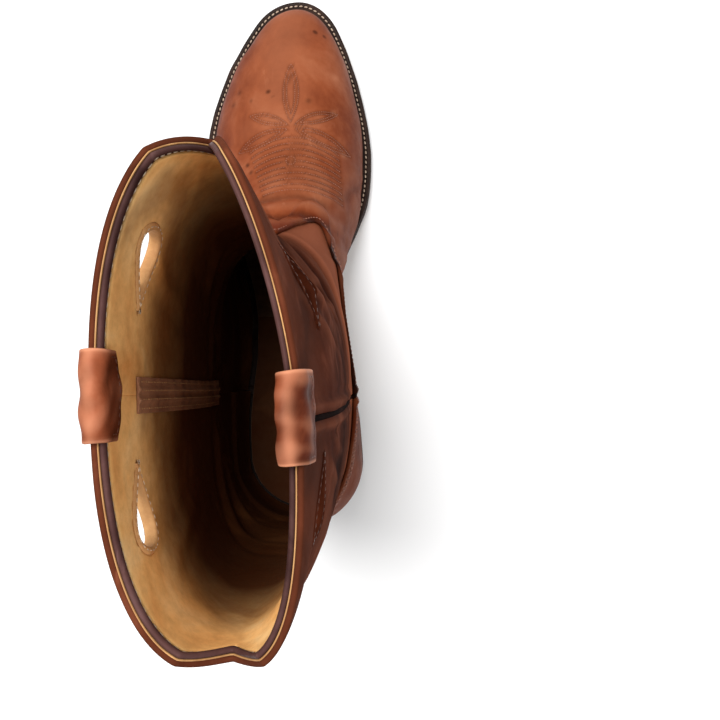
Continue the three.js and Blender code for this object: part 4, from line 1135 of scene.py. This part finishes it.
def make_hole_binding(name, hole):
    """The binding turned through a pull hole, and a row of stitches for either face.

    It is the shaft's brown outside and tan inside. The edge between is tan on the outer wall,
    where it is seen from inside the leg, and brown on the inner one.
    """
    flat = hole.outline(0)
    ahead = np.roll(flat, -1, axis=0) - np.roll(flat, 1, axis=0)
    out = unit(np.stack([ahead[:, 1], -ahead[:, 0]], axis=-1))
    points = hole.at(flat, hole.depth(flat))
    across = out[:, :1] * hole.forward + out[:, 1:] * hole.upright
    up = np.repeat(hole.normal[None], len(flat), axis=0)
    trim = tube("hole_trim_" + name, points, across, up, TRIM_PROFILE, TAN_TRIM,
                ["hole_binding_" + name], closed=True)
    trim.data.materials.append(SHAFT)
    brown_from = TRIM_TURN if name.startswith("outer") else -TRIM_TURN
    for face in trim.data.polygons:
        face.material_index = 1 if Vector(hole.normal).dot(face.normal) > brown_from else 0
    closed = np.arange(len(flat) + 1) % len(flat)
    rows = []
    for height, face in ((TRIM_OUTSIDE, up), (TRIM_INSIDE, -up)):
        row = points + across * TRIM_STITCHES_OUT + up * height
        rows.append((row[closed], face[closed]))
    return rows


# ------------------------------------------------------------------ linings

LINING_TOP = 0.985         # level where the linings end, under the bead of the rim
LINING_DEPTH, LINING_T = 2.35, 1.15     # from the skin to the lining's back, and its thickness
STIFFENER_ROOM, TOE_BOX_ROOM = 2.1, 1.6             # left behind the linings
VAMP_LINING_DEPTH, VAMP_LINING_T = 2.4, 1.1


def lining_sheet(name, node, points, outer, thickness):
    """A sheet that faces into the leg, with its back at a distance out from the skin."""
    normals = grid_normals(points)
    back = points + normals * outer[..., None]
    return shell(name, (back - normals * thickness)[:, ::-1], back[:, ::-1], LINING,
                 "lining_leather", [node])


def make_lining(name, node, front, cutters):
    c, v = panel_grid(front, lining_levels if front else foot_and_shaft_levels, 181, 150, HIDDEN_MARGIN)
    points = skin(c, v)
    heel = 0 if front else 1 - smooth(v, lap_level(c) * 0.78, lap_level(c) * 0.9)
    relief = shaft_relief(points, c) * 0.8 * calm_ends(c, v, 0.8)
    panel = lining_sheet(name, node, points, relief - LINING_DEPTH - STIFFENER_ROOM * heel, LINING_T)
    cut_holes(panel, cutters)


def lining_levels(c, r):
    return lerp(lap_level(c) - 0.01, LINING_TOP, r)


def foot_and_shaft_levels(c, r):
    return np.broadcast_to(lerp(0.004, LINING_TOP, r), np.shape(c)).copy()


def vamp_lining_levels(c, r):
    return lap_level(c) * r * 0.99


def make_vamp_lining():
    c, v = panel_grid(True, vamp_lining_levels, 121, 60, HIDDEN_MARGIN)
    over_toe = smooth(1 - np.abs(c - 1), 0.3, 0.45) * (1 - smooth(v, 0.1, 0.16))
    lining_sheet("vamp_lining_panel", "vamp_lining", skin(c, v),
                 -VAMP_LINING_DEPTH - over_toe * TOE_BOX_ROOM, VAMP_LINING_T)


# ------------------------------------------------------------------ seams, rim and straps

# Half of the piping's section, round the boot from the seam and out from the skin.
PIPING_SIDE = [(1.2, -2.2), (1.2, -0.6), (0.9, 0.0), (0.35, 0.3)]
PIPING_LIFT = 1.6          # where the piping runs up over the lap
PIPING_V = (0.004, 0.994)  # levels where it starts and ends


def make_side_piping(name, seam, node):
    v = np.linspace(*PIPING_V, 220)
    points, along, _, normal = skin_frame(seam, v)
    lap = lap_level(seam)
    lift = PIPING_LIFT * smooth(v, lap - 0.02, lap) * (1 - smooth(v, lap + LAP, lap + LAP + 0.01))
    profile = [(-x, z) for x, z in PIPING_SIDE] + PIPING_SIDE[::-1]
    tube(name, points + normal * lift[:, None], unit(along), normal, profile, PIPING,
         [node])


def rim_columns(count):
    """Columns evenly spaced round the rim."""
    fine = np.linspace(0, 4, 2001)
    run = np.concatenate([[0], np.cumsum(np.linalg.norm(np.diff(skin(fine, 1.0), axis=0), axis=1))])
    return np.interp(np.arange(count) / count * run[-1], run, fine)


def rim_frame(c):
    _, _, _, normal = skin_frame(c, np.ones_like(c))
    level = unit(normal * np.array([1, 1, 0]))
    return level, np.repeat([[0, 0, 1.0]], len(c), axis=0)


RAW_EDGE_AT, BEAD_AT = (0.25, -2.2), (0.9, -3.5)    # down from the rim, and out from the skin
RIM_STITCHES_AT = (3.6, -3.6)


def make_rim():
    """The cut edge of the leather and the bead inside it, and where the bead's stitches run."""
    c = rim_columns(360)
    level, up = rim_frame(c)
    tube("rim_raw_edge", off_rim(c, *RAW_EDGE_AT), level, up, ring_profile(0.3, 0.7), RAW_EDGE,
         closed=True)
    tube("rim_bead", off_rim(c, *BEAD_AT), level, up, ring_profile(1.0, 1.6, 14), DARK,
         ["top_binding"], closed=True)
    loop = np.append(c, c[0] + 4)
    return [(off_rim(loop, *RIM_STITCHES_AT), -rim_frame(loop)[0])]


STRAP_WIDTH = 30
STRAP_HALF_T = 0.85
STRAP_OUTER_LEG, STRAP_INNER_LEG = 7, 9             # down from the rim
STRAP_OUT_D, STRAP_IN_D = 1.3, -5.6                 # out from the skin
STRAP_RISE = 3.6           # of its middle line above the rim, before it swells
LEG_ROWS, ARCH_ROWS, INNER_ROWS = 9, 26, 13         # outside, over the rim and inside
ARCH_END = LEG_ROWS + ARCH_ROWS


def strap_section(swell, lean):
    """The strap's middle line as (s, d), down from the rim and out from the skin."""
    angle = np.linspace(0, math.pi, ARCH_ROWS)
    centre, half = (STRAP_OUT_D + STRAP_IN_D) / 2, (STRAP_OUT_D - STRAP_IN_D) / 2
    arch_s = -(STRAP_RISE + 2.0 * swell) * np.sin(angle) ** 0.9
    arch_d = centre + (half + 0.5 * swell * np.sin(angle)) * np.cos(angle)
    arch_d = arch_d - (lean + 0.5 * swell) * np.sin(angle)
    outer = np.linspace(STRAP_OUTER_LEG, 0.4, LEG_ROWS)
    inner = np.linspace(0.4, STRAP_INNER_LEG * (0.6 + 0.4 * swell), INNER_ROWS)
    s = np.concatenate([outer, arch_s, inner])
    d = np.concatenate([np.full(LEG_ROWS, STRAP_OUT_D), arch_d, np.full(INNER_ROWS, STRAP_IN_D)])
    return s, d


def strap_grid(seam, lean):
    """The strap's middle surface, a section for each place across it."""
    columns = []
    for place in np.linspace(-0.5, 0.5, 31):
        s, d = strap_section(1 - (2 * place) ** 2, lean)
        across = place * (STRAP_WIDTH - 2) + 0.5 * math.sin(9 * place)
        c = seam + 4 + column_step(seam, 1.0, across)
        columns.append(off_rim(np.full(len(s), c), s, d))
    return np.stack(columns, axis=1)


def make_pull_strap(name, seam, node, lean):
    """A strap folded over the rim, and the lines of stitching round its two ends."""
    points = strap_grid(seam, lean)
    normals = grid_normals(points)
    lift = ripple(points, seam + 3, 10, 0.75)
    over = points + normals * (STRAP_HALF_T + lift)[..., None]
    under = points - normals * (STRAP_HALF_T - lift * 0.8)[..., None]
    rows, count = points.shape[:2]
    i, j = np.indices((rows, count))
    # Pale cut edges at the strap's sides; a painted highlight along the crown of the fold and on raised
    # leather; painted shade on the leg inside the shaft and in dips.
    edge = np.exp(-(np.minimum(j, count - 1 - j) / 0.7) ** 2)
    crown_highlight = np.exp(-((i - LEG_ROWS - 11) / 3.0) ** 2)
    wear_and_highlight = edge + 0.5 * crown_highlight + np.clip(lift, 0, 0.4)
    shade = 0.35 * smooth(i, ARCH_END - 9, ARCH_END + 5) + np.clip(-lift * 0.8, 0, 0.4)
    shell(name, over, under, STRAP, "upper_leather", [node], {"wear_and_highlight": wear_and_highlight, "shade": shade}, bulge=0.7)
    legs, ends = (slice(1, LEG_ROWS - 1), slice(ARCH_END + 3, rows - 2)), (2, -3)
    places = [(leg, column) for column in ends for leg in legs]
    places += [(row, slice(2, -2)) for row in ends]
    return [(over[place], normals[place]) for place in places]


TAPE_HALF, TAPE_T, TAPE_DEPTH = 6, 0.7, 3.8
TAPE_V = (0.575, 0.925)    # levels where the tapes end
RIDGE_AT = 1.8             # from the tape's middle to a ridge


def make_seam_tape(name, seam, node):
    """The tape over a side seam inside the shaft, ridged and stitched along its edges."""
    v = np.linspace(*TAPE_V, 110)[:, None]
    place = np.linspace(-TAPE_HALF, TAPE_HALF, 25)[None, :]
    c = seam + 4 + column_step(seam, v, place)
    point, _, _, normal = skin_frame(c, v + 0 * place)
    ridges = 0.8 * np.exp(-((np.abs(place) - RIDGE_AT) / 0.8) ** 2) + 0.12 * np.sin(v * 240)
    inside = point - normal * (TAPE_DEPTH + ridges + TAPE_T)[..., None]
    outside = point - normal * TAPE_DEPTH
    shell(name, inside[:, ::-1], outside[:, ::-1], TAPE, "lining_leather", [node])
    return [(inside[2:-2, j], -normal[2:-2, j]) for j in (3, 9, 15, 21)]


# ------------------------------------------------------------------ the bottom

def sole_outline(count):
    """The sole's two sides, as matching points from the heel to the toe."""
    t = (1 - np.cos(math.pi * np.linspace(0.003, 0.997, count))) / 2
    y = lerp(SOLE_BACK, SOLE_TOE, t)
    ends = round_end(y - SOLE_BACK, SOLE_HEEL_ROUND) * round_end(SOLE_TOE - y, SOLE_TOE_ROUND)
    return y, middle(y) + sole_inner(y) * ends, middle(y) - sole_outer(y) * ends


SOLE = sole_outline(220)


def level_grid(y, right, left, across, z):
    """A grid over an outline, at one height or at a height for each y."""
    x = lerp(left[:, None], right[:, None], np.linspace(0, 1, across))
    return np.stack([x, 0 * x + y[:, None], 0 * x + np.reshape(z, (-1, 1))], axis=-1)


def sole_path(round_toe):
    """The sole's edge from one side round the toe, or round the heel, to the other side."""
    y, right, left = SOLE
    keep = y >= WELT_END_Y if round_toe else y <= WELT_END_Y - 1
    inner = np.stack([right[keep], y[keep]], axis=-1)
    outer = np.stack([left[keep], y[keep]], axis=-1)
    if not round_toe:
        inner, outer = inner[::-1], outer[::-1]
    path = np.concatenate([inner, outer[::-1]])
    tangent = unit(np.gradient(path, axis=0))
    inward = np.stack([-tangent[:, 1], tangent[:, 0]], axis=-1) * (1 if round_toe else -1)
    return path, inward


def edge_strip(name, round_toe, profile, node):
    path, inward = sole_path(round_toe)
    base = sole_bottom(path[:, 1]) + OUTSOLE_T + WELT_GAP
    points = np.column_stack([path, base])
    across = np.column_stack([inward, np.zeros(len(path))])
    up = np.repeat([[0, 0, 1.0]], len(path), axis=0)
    tube(name, points, across, up, profile, WELT_EDGE, [node])
    return points, across, up


# Sections of the welt and the heel rand, in from the sole's edge and up.
STRIP_EDGE = [(0.7, -0.3), (0.12, 0.1), (0, 0.8), (0, 2.1), (0.3, 2.75)]
STRIP_BACK = [(5.0, 2.95), (WELT_WIDTH, 2.9), (WELT_WIDTH, 0.0)]
WELT_GROOVE = [(1.0, 3.05), (2.3, 3.05), (2.6, 2.65), (3.3, 2.65), (3.6, 3.05)]

WELT_STITCHES_AT = (2.95, 2.72)         # in from the edge, and up
SOLE_STITCHES_IN = 4.2


def make_sole():
    """Outsole, welt and heel rand, and where the stitches run on the welt and under the sole."""
    y, right, left = SOLE
    bottom = sole_bottom(y)
    outsole = shell("outsole_board", level_grid(y, right, left, 21, bottom + OUTSOLE_T),
                    level_grid(y, right, left, 21, bottom), WELT_EDGE, "sole_leather",
                    ["outsole"], bulge=0.12, boxy=0.4)
    outsole.data.materials.append(SOLE_UNDER)
    for face in outsole.data.polygons:
        face.material_index = 1 if face.normal.z < -0.6 else 0
    profile = STRIP_EDGE + WELT_GROOVE + STRIP_BACK
    points, across, up = edge_strip("welt_strip", True, profile, "welt")
    edge_strip("heel_rand_strip", False, STRIP_EDGE + [(1.0, 3.0)] + STRIP_BACK, "heel_rand")
    top = points + across * WELT_STITCHES_AT[0] + up * WELT_STITCHES_AT[1]
    under = points + across * SOLE_STITCHES_IN - up * (OUTSOLE_T + WELT_GAP)
    return (top, up), (under, -up)


PEG_ROWS = ((6.5, 38), (9.5, 40.5))     # in from the sole's edge, and where the row starts
PEGS_END, PEG_PITCH = 128, 5.0
PEG_RISE = 0.45            # of a peg's middle above the sole's underside


def peg_form():
    bpy.ops.object.select_all(action="DESELECT")
    bpy.ops.mesh.primitive_cylinder_add(vertices=10, radius=0.8 * MM, depth=1.2 * MM)
    peg = bpy.context.object
    edit_whole(peg, bpy.ops.mesh.bevel, offset=0.15 * MM, segments=2)
    points, faces = form_of(peg)
    bpy.data.objects.remove(peg)
    return points / MM, faces


def make_pegs():
    """Two rows of wooden pegs along each side of the waist, in the underside of the sole."""
    y, right, left = SOLE
    form, faces = peg_form()
    placed = []
    for inset, start in PEG_ROWS:
        for side_x, sign in ((right, -1), (left, 1)):
            for peg_y in np.arange(start, PEGS_END, PEG_PITCH):
                x = np.interp(peg_y, y, side_x) + sign * inset
                placed.append(form + [x, peg_y, sole_bottom(peg_y) + PEG_RISE])
    copies("shank_pegs", faces, placed, PEG_WOOD)


HEEL_TOP, HEEL_CAP_T, HEEL_LIFTS = 36.1, 6.0, 4
LAYER_GAP, SHOWN_GAP = 0.3, 0.12        # under a lift, and left over it to show the layers
LIFT_INSETS = (0.0, 0.18, 0.05, 0.12)   # the lifts aren't cut quite alike
HEEL_BACK, HEEL_FRONT, HEEL_HALF = (-46, -49.6), (18, 24), (31.5, 34.6)     # at the floor and the top
CAP_LIFT = 0.15            # the rubber's rounded edge stands this far off the floor


def heel_outline(z, inset):
    t = z / HEEL_TOP
    back, front = lerp(*HEEL_BACK, t) + inset, lerp(*HEEL_FRONT, t) - inset
    half = lerp(*HEEL_HALF, t) - inset
    f = 1 - np.cos(math.pi / 2 * np.linspace(0.02, 1, 60))
    y = lerp(back, front, f)
    return y, half * round_end(y - back, half) * (1 - 0.06 * f * f)


def heel_layer(name, bottom, top, material, slot, node, inset=0.0, **shape):
    grids = []
    for z in (top, bottom):
        y, width = heel_outline(z, inset)
        grids.append(level_grid(y, width, -width, 31, z))
    shell(name, *grids, material, slot, [node], boxy=0.3, **shape)


def make_heel():
    heel_layer("heel_cap_rubber", CAP_LIFT, HEEL_CAP_T, RUBBER, "rubber_cap", "heel_cap", bulge=0.06)
    pitch = (HEEL_TOP - HEEL_CAP_T) / HEEL_LIFTS
    for k, inset in enumerate(LIFT_INSETS):
        bottom = HEEL_CAP_T + LAYER_GAP + k * pitch
        heel_layer("lift_%d" % (k + 1), bottom, bottom + pitch - SHOWN_GAP, STACK, "stacked_leather",
                   "heel_lift_%d" % (k + 1), inset, bulge=0.05)


HEEL_CENTRE, NAIL_RING, HEEL_NAILS = -14.0, 23.0, 7
NAIL_HEAD_R, NAIL_HEAD_T, NAIL_HEAD_Z = 1.7, 1.2, 0.65
NAIL_BEVEL, NAIL_SHOULDER = 0.3, 0.55   # of the head's edge, and from there in to the rod
NAIL_ROD = 10.5


def make_nail(name, x, y, node):
    bpy.ops.object.select_all(action="DESELECT")
    bpy.ops.mesh.primitive_cylinder_add(vertices=20, radius=NAIL_HEAD_R * MM, depth=NAIL_HEAD_T * MM,
                                        location=to_part([x, y, NAIL_HEAD_Z])[0])
    nail = bpy.context.object
    nail.name = name
    edit_whole(nail, bpy.ops.mesh.bevel, offset=NAIL_BEVEL * MM, segments=2)
    bpy.ops.object.mode_set(mode="EDIT")
    bpy.ops.mesh.select_all(action="DESELECT")
    bpy.ops.object.mode_set(mode="OBJECT")
    for face in nail.data.polygons:
        face.select = face.normal.z > 0.9
    bpy.ops.object.mode_set(mode="EDIT")
    bpy.ops.mesh.inset(thickness=NAIL_SHOULDER * MM)
    bpy.ops.mesh.extrude_region_move(TRANSFORM_OT_translate={"value": (0, 0, NAIL_ROD * MM)})
    bpy.ops.object.mode_set(mode="OBJECT")
    bpy.ops.object.transform_apply(location=True, rotation=True, scale=True)
    dress(nail, BRASS, [node])
    pick(nail)
    bpy.ops.object.shade_smooth_by_angle(angle=math.radians(35))


def make_nails():
    """Brass nails: a domed head just proud of the cap, on a rod up into the first lift."""
    for k in range(HEEL_NAILS):
        angle = math.pi * (0.5 + 1.5 * (k / (HEEL_NAILS - 1) - 0.5))
        x, y = NAIL_RING * math.cos(angle), HEEL_CENTRE - NAIL_RING * math.sin(angle)
        make_nail("nail_%d" % (k + 1), x, y, "heel_nail_%d" % (k + 1))


# ------------------------------------------------------------------ the boot

ABOVE_FOOT = 200           # a height that clears the vamp


def project(lines, surface):
    """Flat lines of (x, y) laid down on the top of a piece, with its normals."""
    laid = []
    for line in lines:
        points, normals = [], []
        for x, y in line:
            start = Vector(to_part([x, y, ABOVE_FOOT])[0])
            spot, normal, _, _ = surface.ray_cast(start, Vector((0, 0, -1)))
            if spot is not None:
                points.append(np.array(spot) / MM - [0, FORWARD, 0])
                normals.append(np.array(normal))
        if len(points) > 2:
            laid.append((np.array(points), np.array(normals)))
    return laid


def surface_of(piece):
    return BVHTree.FromPolygons(*form_of(piece))


LAP_STITCHES_UP = 2.45     # the outer face of the leather that laps over


def lap_stitches(front, below):
    """A line of stitching along the top edge of the vamp or the counter."""
    c = panel_columns(front, 200)[3:-3]
    v = lap_level(c) + LAP
    _, _, up, _ = skin_frame(c, v)
    point, _, _, normal = skin_frame(c, v - below / np.linalg.norm(up, axis=1))
    return point + normal * LAP_STITCHES_UP, normal


def make_upper():
    decoration = medallion_lines() + wrinkle_lines()
    holes = {name: PullHole(*place) for name, place in PULL_HOLES.items()}
    front = [holes["inner_front"], holes["outer_front"]]
    back = [holes["inner_back"], holes["outer_back"]]
    vamp = make_vamp(decoration)
    make_counter()
    make_shaft("shaft_front_panel", "shaft_front", True, front)
    make_shaft("shaft_back_panel", "shaft_back", False, back)
    make_lining("lining_front_panel", "lining_front", True, front)
    make_lining("lining_back_panel", "lining_back", False, back)
    make_vamp_lining()
    outside, inside = zip(*[make_hole_binding(name, hole) for name, hole in holes.items()])
    stitches("hole_stitches_outside", outside, DARK_THREAD, 2.6, (1.7, 0.5, 0.4))
    stitches("hole_stitches_inside", inside, CREAM_THREAD, 2.6, (1.7, 0.5, 0.4))
    stitches("vamp_stitches", project(decoration, surface_of(vamp)), BROWN_THREAD,
             1.5, (1.15, 0.45, 0.4), sink=0.02)
    laps = [lap_stitches(True, 2.6), lap_stitches(False, 2.6), lap_stitches(False, 4.6)]
    stitches("lap_stitches", laps, BROWN_THREAD, 2.4, (1.8, 0.6, 0.45))


def make_trim():
    make_side_piping("piping_inner", 0, "side_piping_inner")
    make_side_piping("piping_outer", 2, "side_piping_outer")
    stitches("rim_stitches", make_rim(), CREAM_THREAD, 2.9, (2.1, 0.6, 0.5))
    straps = make_pull_strap("strap_inner", 0, "pull_strap_inner", 1.6)
    straps += make_pull_strap("strap_outer", 2, "pull_strap_outer", 0.0)
    stitches("strap_stitches", straps, DARK_THREAD, 2.3, (1.7, 0.55, 0.42))
    tapes = make_seam_tape("tape_inner", 0, "seam_tape_inner")
    tapes += make_seam_tape("tape_outer", 2, "seam_tape_outer")
    stitches("tape_stitches", tapes, TAN_THREAD, 2.6, (1.9, 0.55, 0.42))


def make_bottom():
    welt_line, under_line = make_sole()
    stitches("welt_stitches", [welt_line], WELT_THREAD, 3.1, (2.2, 1.1, 0.8), 0.0, 0.18)
    stitches("sole_stitches", [under_line], TAN_THREAD, 3.3, (2.4, 0.8, 0.5), 0.15)
    make_pegs()
    make_heel()
    make_nails()


def finish_hidden_parts():
    finishes = {"insole": INSOLE, "heel_sock": LINING, "toe_box": INSOLE, "heel_stiffener": INSOLE,
                "cork_filler": CORK, "steel_shank": STEEL}
    for node, material in finishes.items():
        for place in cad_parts[node].material_slots:
            place.material = material


# ------------------------------------------------------------------ floor, light and camera

def make_floor():
    bpy.ops.object.select_all(action="DESELECT")
    bpy.ops.mesh.primitive_plane_add(size=8)
    floor = bpy.context.object
    floor.name = "floor"
    floor.data.materials.append(pale_floor("pale_floor"))


def area_light(name, place, target, size, power):
    light = bpy.data.lights.new(name, "AREA")
    light.shape, light.size, light.energy = "DISK", size, power
    lamp = bpy.data.objects.new(name, light)
    scene_collection.objects.link(lamp)
    lamp.location = place
    lamp.rotation_euler = (Vector(target) - Vector(place)).to_track_quat("-Z", "Y").to_euler()


def make_light():
    area_light("key_light", (-0.35, 0.45, 1.9), (0, 0.08, 0.15), 1.0, 44)
    area_light("fill_light", (0.9, -0.5, 1.5), (0, 0.1, 0.15), 1.4, 9)
    world = bpy.data.worlds.new("soft_white")
    world.use_nodes = True
    background = world.node_tree.nodes["Background"].inputs
    background["Color"].default_value = (1, 1, 1, 1)
    background["Strength"].default_value = 0.5
    bpy.context.scene.world = world


CAMERA_PLACE = (0.051737, 0.031276, 0.540211)
CAMERA_TURN = {"X": -0.04852, "Y": -0.03077, "Z": 0.02676}     # radians, from looking straight down
CAMERA_LENS, CAMERA_SENSOR = 42.585, 36


def make_camera():
    """High over the leg, looking straight down into it, as the boot is shown."""
    camera = bpy.data.objects.new("camera", bpy.data.cameras.new("camera"))
    scene_collection.objects.link(camera)
    camera.data.sensor_width, camera.data.lens = CAMERA_SENSOR, CAMERA_LENS
    turn = Matrix.Identity(3)
    for axis, angle in CAMERA_TURN.items():
        turn = turn @ Matrix.Rotation(angle, 3, axis)
    camera.matrix_world = Matrix.Translation(CAMERA_PLACE) @ turn.transposed().to_4x4()
    camera.data.clip_start, camera.data.clip_end = 0.01, 20
    bpy.context.scene.camera = camera


def make_tones():
    """Plain display tones, so that white stays white and leather keeps its colour."""
    bpy.context.scene.view_settings.view_transform = "Standard"


make_upper()
make_trim()
make_bottom()
finish_hidden_parts()
make_floor()
make_light()
make_camera()
make_tones()
